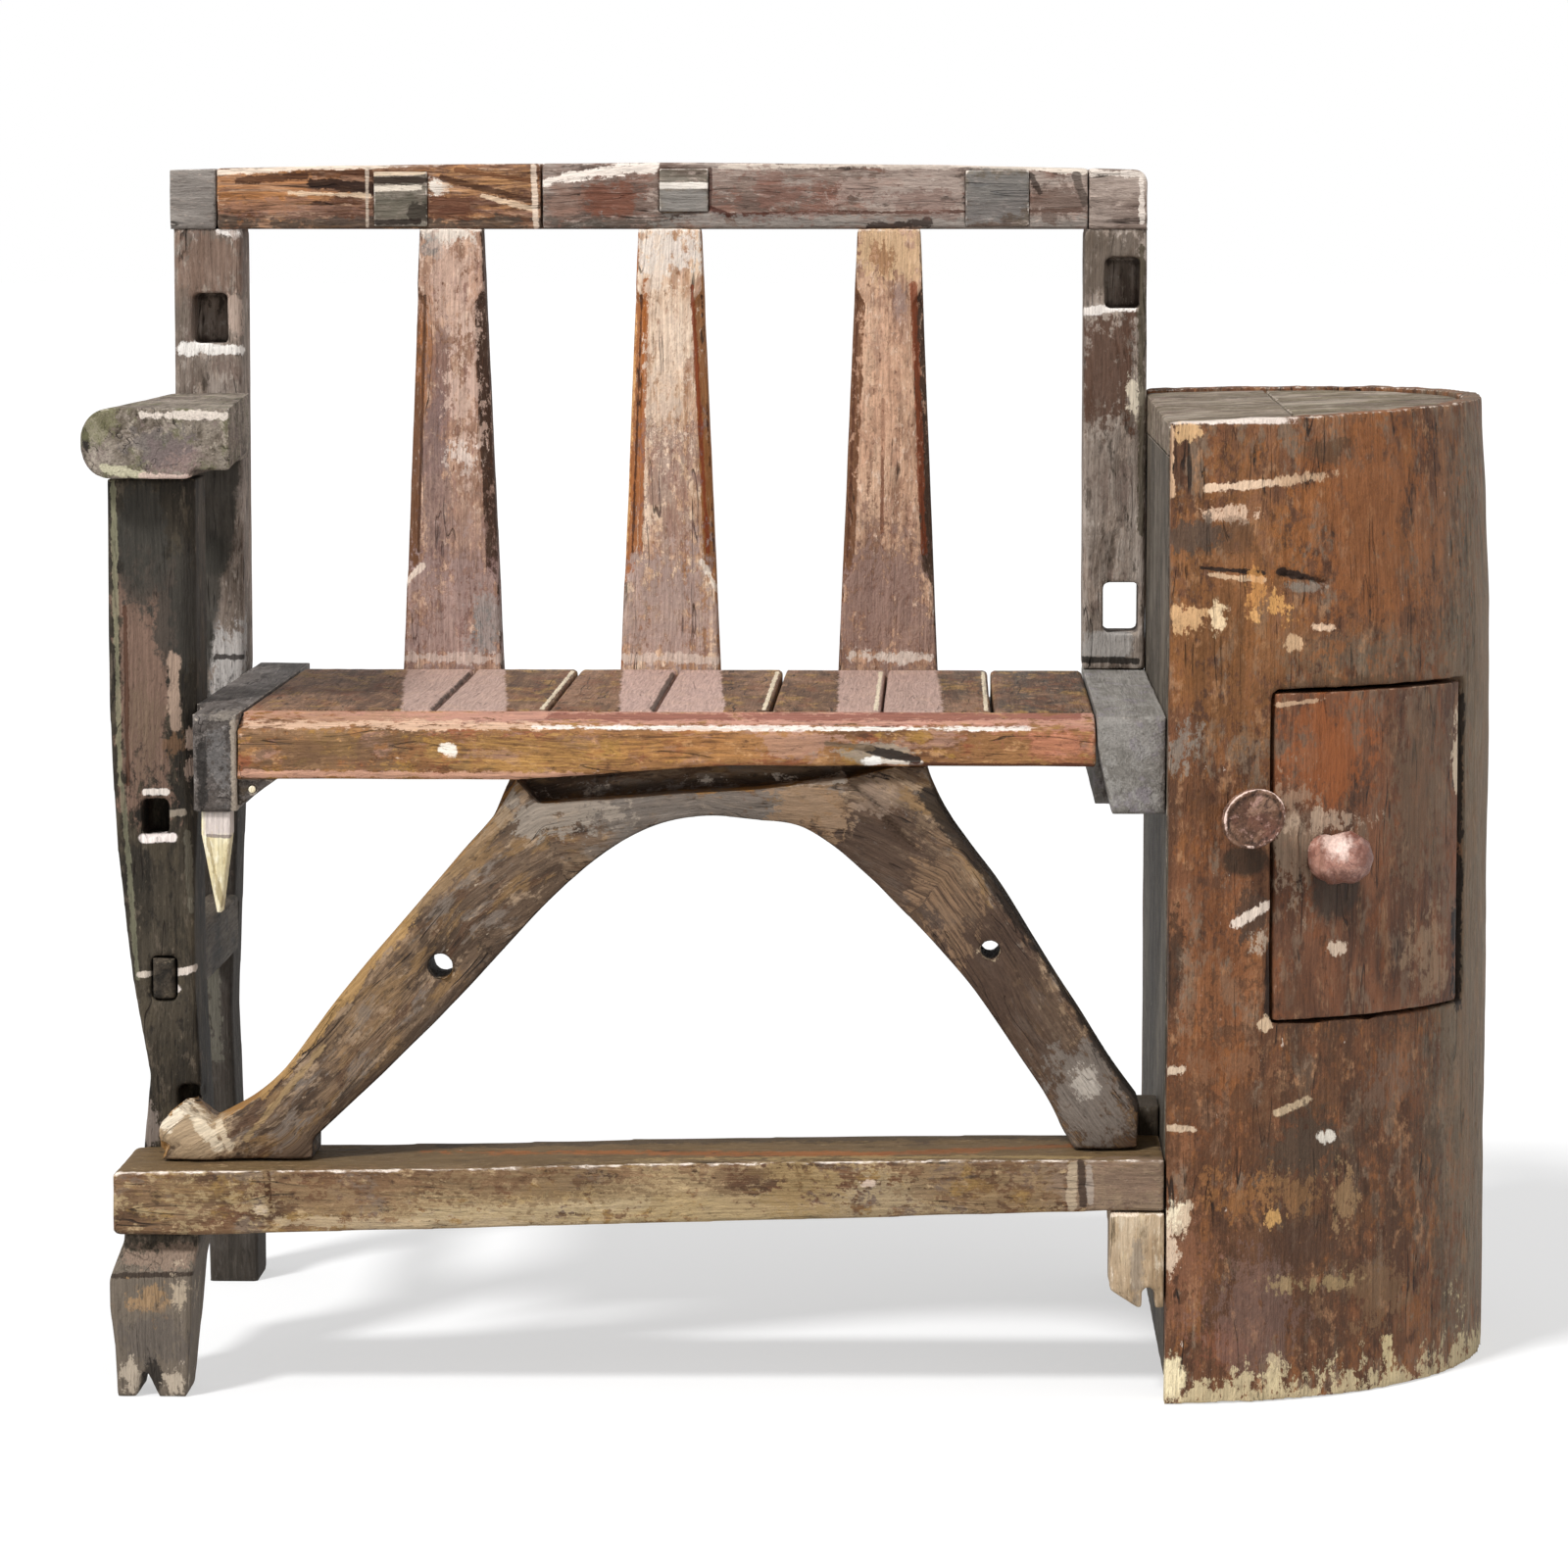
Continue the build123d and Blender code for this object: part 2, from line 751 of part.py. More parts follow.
def rail_top_points():
    low = rail_left_seat + rail_left_height
    high = rail_right_seat + rail_right_height
    length = log_flat - rail_left
    return [(rail_left + length * along, low + (high - low) * up) for along, up in rail_top_shares]


def make_bottom_rail():
    foot_seat_end = leg_inner + leg_width / 4
    stub_left = log_flat - stub_width
    points = rail_top_points()
    points += [
        (log_flat, rail_right_seat),
        (stub_left, rail_right_seat),
        (foot_seat_end, rail_left_seat),
        (rail_left, rail_left_seat),
    ]
    rail = front_polygon(points, front, leg_front)
    end_edges = rail.edges().filter_by(Axis.Y).sort_by(Axis.X)[:2]
    return chamfer(end_edges, arris)


def make_leg_stub():
    left = log_flat - stub_width
    side = [
        (front, stub_foot_level),
        (front, rail_right_seat),
        (leg_front, rail_right_seat),
        (leg_front, stub_top_level),
        (front + stub_depth, stub_top_level),
        (front + stub_depth, rail_right_seat - arris),
        (front + stub_foot_depth, rail_left_seat),
        (front + stub_foot_depth, stub_foot_level),
    ]
    stub = side_polygon(side, left, log_flat)
    y_to = front + stub_depth
    low_corner = [
        (left, stub_foot_level),
        (left, stub_foot_level + stub_chamfer_height),
        (left + stub_chamfer_width, stub_foot_level),
    ]
    stub -= front_polygon(low_corner, front - overrun, y_to)
    notch_right = log_flat - stub_notch_inset
    stub -= span_box(notch_right - stub_notch_width, notch_right, front - overrun, y_to,
                     stub_foot_level, stub_foot_level + stub_notch_height)
    return stub


# Outline of the crook, left foot to right foot over the top and back under it:
# shares of its length along the rail and of the height up to the seat rail
arch_back_shares = [
    (0.076, 0.131), (0.107, 0.186), (0.169, 0.378), (0.224, 0.541),
    (0.293, 0.740), (0.335, 0.861), (0.362, 0.963),
]
arch_crown_shares = [
    (0.385, 0.905), (0.45, 0.916), (0.519, 0.930),
    (0.605, 0.942), (0.700, 0.972), (0.741, 1.0),
]
arch_ledge_shares = [(0.335, 0.861), (0.362, 1.02), (0.772, 1.02), (0.772, 0.95), (0.5, 0.90), (0.4, 0.85)]
arch_right_shares = [
    (0.772, 1.0), (0.802, 0.842), (0.843, 0.706), (0.885, 0.541),
    (0.927, 0.379), (0.962, 0.243), (0.987, 0.160),
]
arch_inner_shares = [
    (0.907, 0.093), (0.896, 0.153), (0.858, 0.296), (0.816, 0.447), (0.774, 0.570), (0.707, 0.736),
    (0.669, 0.813), (0.644, 0.845), (0.607, 0.856), (0.569, 0.866), (0.534, 0.863), (0.493, 0.835),
    (0.443, 0.762), (0.390, 0.643), (0.335, 0.495), (0.277, 0.345), (0.157, 0.059),
]
arch_splinter_shares = [(0.0, 0.0), (0.009, 0.055), (0.031, 0.145), (0.052, 0.098)]
arch_foot_shares = [(0.985, 0.03), (0.93, 0.0)]
arch_left_peg_shares = (0.285, 0.495)
arch_right_peg_shares = (0.836, 0.541)


def arch_place(shares):
    along, up = shares
    left = rail_left + arch_left_inset
    base = rail_left_seat + rail_left_height
    length = log_flat - arch_right_inset - left
    return left + length * along, base + (seat_rail_right_underside - base) * up


def arch_spline(share_points):
    return Spline(*[(x, 0, z) for x, z in map(arch_place, share_points)])


def arch_line(share_points):
    return Polyline(*[(x, 0, z) for x, z in map(arch_place, share_points)])


def make_arch_brace(rail, seat_rail):
    back = arch_spline(arch_back_shares)
    crown = arch_line([arch_back_shares[-1]] + arch_crown_shares + [arch_right_shares[0]])
    right = arch_spline(arch_right_shares)
    right_foot = arch_line([arch_right_shares[-1]] + arch_foot_shares + [arch_inner_shares[0]])
    inner = arch_spline(arch_inner_shares)
    left_heel = [arch_inner_shares[-1], (arch_inner_shares[-1][0], 0)]
    left_foot = arch_line(left_heel + arch_splinter_shares + [arch_back_shares[0]])
    y_from = front + arch_setback
    y_to = y_from + arch_thickness
    arch = front_extrusion([back, crown, right, right_foot, inner, left_foot], y_from, y_to)
    # behind a worn front ledge the crown rises to meet the seat rail
    riser = make_face(arch_line(arch_ledge_shares + [arch_ledge_shares[0]]))
    ledge = y_from + arch_crown_ledge
    arch += Pos(0, ledge, 0) * extrude(riser, amount=y_to - ledge, dir=(0, 1, 0))
    arch = arch - rail - seat_rail
    pegs = ((arch_left_peg_shares, arch_left_peg_radius), (arch_right_peg_shares, arch_right_peg_radius))
    for shares, radius in pegs:
        x, z = arch_place(shares)
        arch -= depth_rod(x, z, radius, y_from - overrun, y_to + overrun)
    return arch


# Seat

def make_seat_front_rail():
    y_from = front + seat_rail_setback
    y_to = y_from + seat_rail_width
    y_plank = front + plank_setback
    section = [
        (y_from, seat_rail_left_underside),
        (y_from, seat_top - seat_rail_front_drop - seat_rail_arris),
        (y_from + seat_rail_arris, seat_top - seat_rail_front_drop),
        (y_plank, seat_top),
        (y_plank, plank_underside),
        (y_to, plank_underside),
        (y_to, seat_rail_left_underside),
    ]
    rail = side_polygon(section, seat_left, seat_right)
    width = seat_right - seat_left
    rise_from, rise_to = [seat_left + width * share for share in seat_rail_rise_shares]
    waste = [
        (rise_from, seat_rail_left_underside),
        (rise_to, seat_rail_right_underside),
        (seat_right, seat_rail_right_underside),
        (seat_right, seat_rail_left_underside),
    ]
    return rail - front_polygon(waste, y_from - overrun, y_to + overrun)


def make_seat_back_rail():
    y_from = front + slat_setback - back_rail_width / 2
    z_from = plank_underside - back_rail_height
    rail = span_box(seat_left, seat_right, y_from, y_from + back_rail_width, z_from, plank_underside)
    for centre in slat_centres():
        bottom = plank_underside - tenon_length - joint_clearance
        rail -= slat_tenon(centre, joint_clearance, bottom, plank_underside + overrun)
    return rail


# Seams between the seat planks as shares of the seat's width
plank_seam_shares = [0.0, 0.223, 0.357, 0.483, 0.619, 0.75, 0.88, 1.0]


def make_seat_planks():
    planks = []
    width = seat_right - seat_left
    y_from = front + plank_setback
    y_to = front + plank_end_setback
    for share_from, share_to in zip(plank_seam_shares, plank_seam_shares[1:]):
        x_from = seat_left + width * share_from + plank_gap / 2
        x_to = seat_left + width * share_to - plank_gap / 2
        plank = span_box(x_from, x_to, y_from, y_to, plank_underside, seat_top)
        upper = plank.edges().filter_by(Axis.Y).group_by(Axis.Z)[-1]
        planks.append(chamfer(upper, plank_gap))
    return planks


def make_bearer_left():
    y_from = front + seat_rail_setback
    bearer = span_box(leg_inner, seat_left, y_from, post_back, bearer_underside, seat_top)
    bearer -= span_box(leg_inner, leg_inner + bearer_shoulder, y_from, leg_front, bearer_underside, seat_top)
    return bearer


def make_bearer_right():
    y_from = front + seat_rail_setback
    bearer = span_box(seat_right, log_flat, y_from, post_back, bearer_underside, seat_top)
    nose = [
        (seat_right, bearer_underside),
        (seat_right, bearer_underside + bearer_height * bearer_nose_share),
        (seat_right + bearer_nose_chamfer, bearer_underside),
    ]
    bearer -= front_polygon(nose, y_from - overrun, y_from + seat_rail_width)
    return bearer - right_post_tenon(joint_clearance)


def brace_range():
    y_from = front + seat_rail_setback + overrun
    return y_from, y_from + brace_depth


def make_corner_brace():
    y_from, y_to = brace_range()
    triangle = [
        (seat_left, seat_rail_left_underside),
        (seat_left + brace_width, seat_rail_left_underside),
        (seat_left, bearer_underside + arris),
    ]
    brace = front_polygon(triangle, y_from, y_to)
    x, z = brace_peg_place()
    return brace - depth_rod(x, z, brace_peg_radius + running_clearance, y_from - overrun, y_to)


def brace_peg_place():
    along, down = [brace_width * share for share in brace_peg_shares]
    return seat_left + along, seat_rail_left_underside - down


def make_brace_peg():
    y_from, y_to = brace_range()
    x, z = brace_peg_place()
    return depth_rod(x, z, brace_peg_radius, y_from - brace_peg_pride, y_to - overrun)


def make_bearer_wedge():
    middle = (leg_inner + bearer_shoulder + seat_left) / 2
    half = wedge_width / 2
    top = bearer_underside
    neck = top - wedge_head
    tip = neck - wedge_point
    outline = [
        (middle - half, top), (middle + half, top), (middle + half, neck),
        (middle + wedge_tip, tip), (middle, tip), (middle - half, neck),
    ]
    y_from = front + seat_rail_setback + overrun
    return front_polygon(outline, y_from, y_from + wedge_thickness)


nodes = {}
nodes["log_shell"] = make_log_shell()
nodes["log_side_board"] = make_side_board()
nodes["log_top_board_left"], nodes["log_top_board_right"] = make_top_boards()
nodes["cupboard_floor"] = make_cupboard_floor()
nodes["door_stop"] = make_door_stop()
nodes["door_panel"] = make_door_panel()
nodes["door_knob"] = make_door_knob()
nodes["turn_button"] = make_turn_button()
nodes["turn_button_cotter"] = make_button_cotter()

crest_names = ("crest_left_block", "crest_rail_left", "crest_rail_right", "crest_right_block")
nodes.update(zip(crest_names, make_crest()))
nodes["crest_patches"] = Compound(children=[Solid(box.wrapped) for box in patch_boxes(0, patch_pride)])
for slat_name, slat_centre in zip(("left", "middle", "right"), slat_centres()):
    nodes[f"back_slat_{slat_name}"] = make_back_slat(slat_centre)
nodes["back_post_left"] = make_back_post_left()
nodes["back_post_right"] = make_back_post_right()

nodes["front_leg_left"] = make_front_leg()
nodes["side_stretcher"] = make_side_stretcher()
nodes["arm_rest"] = make_arm_rest()

nodes["bottom_rail"] = make_bottom_rail()
nodes["leg_stub_right"] = make_leg_stub()
nodes["seat_front_rail"] = make_seat_front_rail()
nodes["arch_brace"] = make_arch_brace(nodes["bottom_rail"], nodes["seat_front_rail"])

nodes["seat_back_rail"] = make_seat_back_rail()
nodes["seat_bearer_left"] = make_bearer_left()
nodes["seat_bearer_right"] = make_bearer_right()
for number, seat_plank in enumerate(make_seat_planks(), start=1):
    nodes[f"seat_plank_{number}"] = seat_plank
nodes["corner_brace"] = make_corner_brace()
nodes["corner_brace_peg"] = make_brace_peg()
nodes["bearer_wedge"] = make_bearer_wedge()

# The knob stands in front of the log, so everything moves back by half of that
foremost = min(shape.bounding_box().min.Y for shape in nodes.values())
rearmost = max(shape.bounding_box().max.Y for shape in nodes.values())
centring = -(foremost + rearmost) / 2

os.makedirs("parts", exist_ok=True)
for node_name, node_shape in nodes.items():
    export_step(Pos(0, centring, 0) * node_shape, f"parts/{node_name}.step")
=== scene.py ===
import json
import math

import bpy
import numpy as np
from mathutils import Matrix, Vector

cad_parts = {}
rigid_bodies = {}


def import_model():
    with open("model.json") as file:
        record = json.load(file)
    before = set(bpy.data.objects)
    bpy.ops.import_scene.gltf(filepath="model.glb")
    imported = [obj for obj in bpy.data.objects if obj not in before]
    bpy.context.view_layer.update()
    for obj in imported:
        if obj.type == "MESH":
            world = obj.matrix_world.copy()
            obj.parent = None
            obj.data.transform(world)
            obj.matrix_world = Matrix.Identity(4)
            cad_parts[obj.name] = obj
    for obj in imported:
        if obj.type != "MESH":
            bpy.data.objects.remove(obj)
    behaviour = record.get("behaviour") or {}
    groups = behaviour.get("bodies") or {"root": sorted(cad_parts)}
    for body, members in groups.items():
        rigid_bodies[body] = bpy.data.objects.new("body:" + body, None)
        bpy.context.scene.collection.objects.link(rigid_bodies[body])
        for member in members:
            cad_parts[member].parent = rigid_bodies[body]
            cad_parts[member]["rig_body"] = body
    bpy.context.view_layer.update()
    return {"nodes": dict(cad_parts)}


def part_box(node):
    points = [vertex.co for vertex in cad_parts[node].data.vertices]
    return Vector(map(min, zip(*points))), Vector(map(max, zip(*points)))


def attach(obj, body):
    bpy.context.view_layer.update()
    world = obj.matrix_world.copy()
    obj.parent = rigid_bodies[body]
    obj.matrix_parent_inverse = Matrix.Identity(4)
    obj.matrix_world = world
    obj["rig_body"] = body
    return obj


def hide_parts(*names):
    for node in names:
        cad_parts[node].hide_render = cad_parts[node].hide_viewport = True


# Rustic bench in weathered timber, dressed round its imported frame. Each piece of
# wood is a worn copy of its CAD node, with grain that follows the piece.
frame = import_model()
print("frame loaded:", len(frame["nodes"]), "nodes")

mm = 0.001
meshFineness = 1.0  # trial renders use a coarser mesh

# How the 1600 px photograph lies on the bench: one spot of it in pixels and in millimetres,
# the scale at the front of the bottom rail, and the distance over which that scale doubles
photo = dict(acrossPx=975, downPx=175, acrossMm=111, upMm=828, frontMm=-214, mmPerPx=0.657, distanceMm=3750)


# Where a spot of the photograph lies on the bench in millimetres, for a surface that
# is that far behind the front of the bottom rail
def seen(acrossPx, downPx, behind):
    scale = photo["mmPerPx"] * (1 + behind / photo["distanceMm"])
    across = photo["acrossMm"] + (acrossPx - photo["acrossPx"]) * scale
    return (across, photo["frontMm"] + behind, photo["upMm"] - (downPx - photo["downPx"]) * scale)


# A listed mark on the wood: its colour, how strongly it shows, how ragged its edge is, and its shape
def handMark(colour, strength=0.8, ragged=0.6, **more):
    plain = dict(soft=0.2, box=False, grainy=False, depthWeight=0.15)
    return dict(plain, colour=colour, strength=strength, ragged=ragged, **more)


# A mark between two corners of the photograph
def patch(left, top, right, bottom, colour, strength=0.8, ragged=0.6, **more):
    return handMark(colour, strength, ragged, corners=(left, top, right, bottom), **more)


# A mark along a line between two spots of the photograph, with its width in millimetres
def stroke(left, top, right, bottom, width, colour="", strength=0.8, ragged=0.6, **more):
    return handMark(colour, strength, ragged, ends=(left, top, right, bottom), width=width, **more)


# Lays a mark from the photograph on the wood. How far the wood is behind the front of the
# bottom rail, and half the depth of a patch, are the piece's where the mark has none.
def onWood(mark, look):
    behind, deep = mark.get("behind", look["behind"]), mark.get("deep", look["deep"])
    if "ends" in mark:
        left, top, right, bottom = mark["ends"]
        return dict(mark, line=(seen(left, top, behind), seen(right, bottom, behind)))
    if "corners" in mark:
        left, top, right, bottom = mark["corners"]
        low, high = seen(left, bottom, behind), seen(right, top, behind)
        size = ((high[0] - low[0]) / 2, deep, (high[2] - low[2]) / 2)
        middle = ((high[0] + low[0]) / 2, low[1], (high[2] + low[2]) / 2)
        return dict(mark, at=middle, size=size)
    return mark


# A place where wood is gone: its middle and half sizes, and the way that it is pushed
def bite(across, down, behind, size, depth, way=(0, 1, 0), slope=0.5):
    return dict(at=seen(across, down, behind), size=size, depth=depth, way=way, slope=slope)


# Colours are written as sRGB hex, and this turns them to linear
def linear(hexColour):
    channels = [int(hexColour[i:i + 2], 16) / 255 for i in (1, 3, 5)]
    curved = [c / 12.92 if c <= 0.04045 else ((c + 0.055) / 1.055) ** 2.4 for c in channels]
    return (*curved, 1.0)


# Adds a node with its settings. Its open sockets are filled in order with values or
# links, or by name where a dictionary is given, and one output socket comes back.
def addNode(tree, kind, *inputs, out=0, **settings):
    node = tree.nodes.new("ShaderNode" + kind)
    for key, value in settings.items():
        setattr(node, key, value)
    sockets = [s for s in node.inputs if s.enabled]
    filled = zip(sockets, inputs)
    if inputs and isinstance(inputs[0], dict):
        filled = [(node.inputs[key], value) for key, value in inputs[0].items()]
    for socket, value in filled:
        if isinstance(value, bpy.types.NodeSocket):
            tree.links.new(value, socket)
        else:
            socket.default_value = value
    if isinstance(out, str):
        return node.outputs[out]
    return node if out is None else [s for s in node.outputs if s.enabled][out]


smooth = dict(interpolation_type="SMOOTHSTEP")
inColour = dict(data_type="RGBA")


# Noise whose cells are so long and so wide on the wood, x running with the grain
def grainNoise(tree, place, alongMm, acrossMm, detail=3.0, shift=0.0, rough=0.6):
    size = (1000 / alongMm, 1000 / acrossMm, 1000 / acrossMm)
    offset = (shift, shift * 0.7, shift * 1.3)
    scaled = addNode(tree, "VectorMath", place, size, offset, operation="MULTIPLY_ADD")
    return addNode(tree, "TexNoise", scaled, 1.0, detail, rough)


# Lays a colour over another where a pattern passes from one level to the next
def overlay(tree, under, over, pattern, between, strength=1.0):
    amount = addNode(tree, "MapRange", pattern, *between, 0.0, strength, **smooth)
    return addNode(tree, "Mix", amount, under, linear(over), **inColour)


# How strongly a mark shows at each point: 1 inside it and 0 away from it
def markMask(tree, spot, tatter, mark):
    if "line" in mark:
        start, end = [Vector(p) * mm for p in mark["line"]]
        span = end - start
        away = addNode(tree, "VectorMath", spot, start, operation="SUBTRACT")
        share = addNode(tree, "VectorMath", away, span / span.length_squared, operation="DOT_PRODUCT")
        share = addNode(tree, "Clamp", share)
        foot = addNode(tree, "VectorMath", {0: span, "Scale": share}, operation="SCALE")
        away = addNode(tree, "VectorMath", away, foot, operation="SUBTRACT")
        half = mark["width"] * mm / 2
        flat = (1 / half, mark["depthWeight"] / half, 1 / half)
        away = addNode(tree, "VectorMath", away, flat, operation="MULTIPLY")
    else:
        away = addNode(tree, "VectorMath", spot, [c * mm for c in mark["at"]], operation="SUBTRACT")
        away = addNode(tree, "VectorMath", away, [s * mm for s in mark["size"]], operation="DIVIDE")
    if mark["box"]:
        away = addNode(tree, "VectorMath", away, operation="ABSOLUTE")
        across, deep, up = addNode(tree, "SeparateXYZ", away, out=None).outputs
        reach = addNode(tree, "Math", across, deep, operation="MAXIMUM")
        reach = addNode(tree, "Math", reach, up, operation="MAXIMUM")
    else:
        reach = addNode(tree, "VectorMath", away, operation="LENGTH")
    reach = addNode(tree, "Math", tatter, mark["ragged"], reach, operation="MULTIPLY_ADD")
    middle, soft = 1 + mark["ragged"] / 2, mark["soft"]
    return addNode(tree, "MapRange", reach, middle + soft, middle - soft, 0.0, 1.0, **smooth)


# What a finish and its wear are like where a piece doesn't say otherwise. The words in
# mm are sizes on the wood, and the plain numbers are how strongly each layer shows.
plainWood = dict(
    shift=0.0, bendMm=9, fibreLongMm=45, flakeLongMm=20, flakeMm=9, fineLongMm=9, fineMm=2.2,
    splitLongMm=170, tints=(), tintLongMm=42, tintMm=20, tinted=0.7, flaked=0.75, streak=0.28,
    pores=0.55, lifted=0.4, scars=0.5, splits=0.8, dirt="#2a1d14", rubbed=0.85, reliefMm=1.3,
    voxelMm=2.0, wearMm=1.8, roundMm=2.0, outline=1.0, unevenMm=0.9, turnedRange=(0.35, 0.6),
    behind=0, deep=14, unworn=(), snug=(), bites=(), cracks=(), marks=(),
)
# How long and wide the patterns are that every finish shares, in millimetres on the wood
patterns = dict(drift=(160, 45), ragged=(14, 6), tatter=(7, 5), wider=(26, 20), broken=(60, 20))
ringLongMm = 260
blotchStretch = 2.2
# Levels of each pattern between which its colour fades in
levels = dict(
    ring=(0.36, 0.64), bleached=(0.46, 0.66), aged=(0.48, 0.32), tint=(0.53, 0.61), flake=(0.55, 0.66),
    stain=(0.44, 0.34), turned=(1.0, 1.3), pore=(0.42, 0.32), lifted=(0.59, 0.70), scar=(0.69, 0.73),
    split=(0.012, 0.003), splitEnd=(0.52, 0.60), dirt=(0.40, 0.95), rubbed=(1.12, 1.45),
    tatter=(0.58, 1.02), streak=(0.32, 0.70), gloss=(0.3, 0.7), grainy=(0.36, 0.56),
)


# One wood finish. Its grain runs along x of the "grain" attribute, in metres, and each
# noise has a shift of its own, so that no two patterns follow each other.
def woodMaterial(name, look):
    material = bpy.data.materials.new(name)
    material.use_nodes = True
    tree = material.node_tree
    tree.nodes.clear()
    grain = addNode(tree, "Attribute", attribute_name="grain", out="Vector")
    wear = addNode(tree, "Attribute", attribute_name="wear", out="Fac")
    hollow = addNode(tree, "Attribute", attribute_name="hollow", out="Fac")
    turned = addNode(tree, "Attribute", attribute_name="turned", out="Fac")
    spot = addNode(tree, "TexCoord", out="Object")
    shift, blotchMm = look["shift"], look["blotchMm"]

    # The fibres wander: a slow sideways drift bends every finer pattern alike
    bend = look["bendMm"] * mm
    drift = grainNoise(tree, grain, *patterns["drift"], 2.0, shift + 3)
    bend = addNode(tree, "Math", drift, bend * 2, -bend, operation="MULTIPLY_ADD")
    side = addNode(tree, "CombineXYZ", 0.0, bend, bend)
    place = addNode(tree, "VectorMath", grain, side, operation="ADD")

    rings = grainNoise(tree, place, ringLongMm, look["ringMm"], 3.0, shift)
    fibres = grainNoise(tree, place, look["fibreLongMm"], look["fibreMm"], 4.0, shift + 11, 0.65)
    flaking = grainNoise(tree, place, look["flakeLongMm"], look["flakeMm"], 5.0, shift + 17, 0.72)
    blotch = grainNoise(tree, grain, blotchMm * blotchStretch, blotchMm, 3.0, shift + 23)
    fine = grainNoise(tree, place, look["fineLongMm"], look["fineMm"], 3.0, shift + 29, 0.7)
    ragged = grainNoise(tree, grain, *patterns["ragged"], 4.0, shift + 31, 0.7)
    tatter = grainNoise(tree, grain, *patterns["tatter"], 5.0, shift + 37, 0.75)
    wider = grainNoise(tree, grain, *patterns["wider"], 2.0, shift + 47)
    tatter = addNode(tree, "Math", wider, 0.6, tatter, operation="MULTIPLY_ADD")
    tatter = addNode(tree, "MapRange", tatter, *levels["tatter"], 0.0, 1.0)
    split = grainNoise(tree, place, look["splitLongMm"], look["splitMm"], 2.0, shift + 41)
    broken = grainNoise(tree, grain, *patterns["broken"], 2.0, shift + 53)

    # Growth rings first, then slow weathering, then small flaked patches over both
    colour = overlay(tree, linear(look["dark"]), look["base"], rings, levels["ring"])
    colour = overlay(tree, colour, look["light"], blotch, levels["bleached"], 0.8)
    colour = overlay(tree, colour, look["aged"], blotch, levels["aged"], 0.6)
    for order, tint in enumerate(look["tints"]):
        where = grainNoise(tree, place, look["tintLongMm"], look["tintMm"], 5.0, shift + 67 + order * 9, 0.7)
        colour = overlay(tree, colour, tint, where, levels["tint"], look["tinted"])
    colour = overlay(tree, colour, look["flake"], flaking, levels["flake"], look["flaked"])
    colour = overlay(tree, colour, look["stain"], flaking, levels["stain"], look["flaked"])
    # on the slats and the crook, the colour for faces turned away from the light is painted shade, and the
    # crook's colour for faces turned up and left is painted light
    for key, way in (("turnedColour", 1.0), ("shadedSideColour", -1.0)):  # faces turned aside, such as chamfers
        if key in look:
            facing = addNode(tree, "Math", turned, way, tatter, operation="MULTIPLY_ADD")
            colour = overlay(tree, colour, look[key], facing, levels["turned"], 0.92)
    streak = look["streak"]
    streak = addNode(tree, "MapRange", fibres, *levels["streak"], 1 - streak, 1 + streak * 0.8)
    shade = addNode(tree, "CombineXYZ", streak, streak, streak)
    colour = addNode(tree, "Mix", 1.0, colour, shade, blend_type="MULTIPLY", **inColour)

    # Open pores and cracks between the fibres are dark, and lifted fibres catch the light
    pores = addNode(tree, "MapRange", fine, *levels["pore"], 0.0, look["pores"], **smooth)
    colour = addNode(tree, "Mix", pores, colour, linear(look["stain"]), **inColour)
    colour = overlay(tree, colour, look["flake"], fine, levels["lifted"], look["lifted"])

    # Small pale scars, where a splinter has come away
    colour = overlay(tree, colour, look["edge"], ragged, levels["scar"], look["scars"])

    # Drying splits lie where a slow noise crosses its middle, and break off at random
    ridge = addNode(tree, "Math", split, 0.5, operation="SUBTRACT")
    ridge = addNode(tree, "Math", ridge, operation="ABSOLUTE")
    crack = addNode(tree, "MapRange", ridge, *levels["split"], 0.0, 1.0, **smooth)
    ends = addNode(tree, "MapRange", broken, *levels["splitEnd"], 0.0, look["splits"], **smooth)
    crack = addNode(tree, "Math", crack, ends, operation="MULTIPLY")
    colour = addNode(tree, "Mix", crack, colour, linear("#1d130c"), **inColour)

    # Dirt sits in hollows, and handling and rain leave the arrises pale
    dirt = addNode(tree, "Math", ragged, 0.5, hollow, operation="MULTIPLY_ADD")
    colour = overlay(tree, colour, look["dirt"], dirt, levels["dirt"], 0.8)
    rubbed = addNode(tree, "Math", ragged, 1.5, wear, operation="MULTIPLY_ADD")
    colour = overlay(tree, colour, look["edge"], rubbed, levels["rubbed"], look["rubbed"])

    relief = addNode(tree, "Math", rings, 0.5, operation="MULTIPLY")
    for pattern, height in ((fibres, 0.5), (flaking, 1.4), (fine, 0.5), (crack, -1.2)):
        relief = addNode(tree, "Math", pattern, height, relief, operation="MULTIPLY_ADD")
    matt = look["roughness"]
    gloss = addNode(tree, "MapRange", fibres, *levels["gloss"], matt + 0.08, matt - 0.08)

    # Listed marks over all that, and the lights and darks of the fibres go on through them
    markPores = addNode(tree, "Math", pores, 0.7, operation="MULTIPLY")
    for mark in look["marks"]:
        mask = markMask(tree, spot, tatter, mark)
        mask = addNode(tree, "Math", mask, mark["strength"], operation="MULTIPLY")
        if mark["grainy"]:  # the grain shows through, so only part of the fibres take it
            grainy = addNode(tree, "MapRange", fibres, *levels["grainy"], 0.0, 1.0)
            mask = addNode(tree, "Math", mask, grainy, operation="MULTIPLY")
        marked = addNode(tree, "Mix", 1.0, linear(mark["colour"]), shade, blend_type="MULTIPLY", **inColour)
        marked = addNode(tree, "Mix", markPores, marked, linear(look["stain"]), **inColour)
        colour = addNode(tree, "Mix", mask, colour, marked, **inColour)

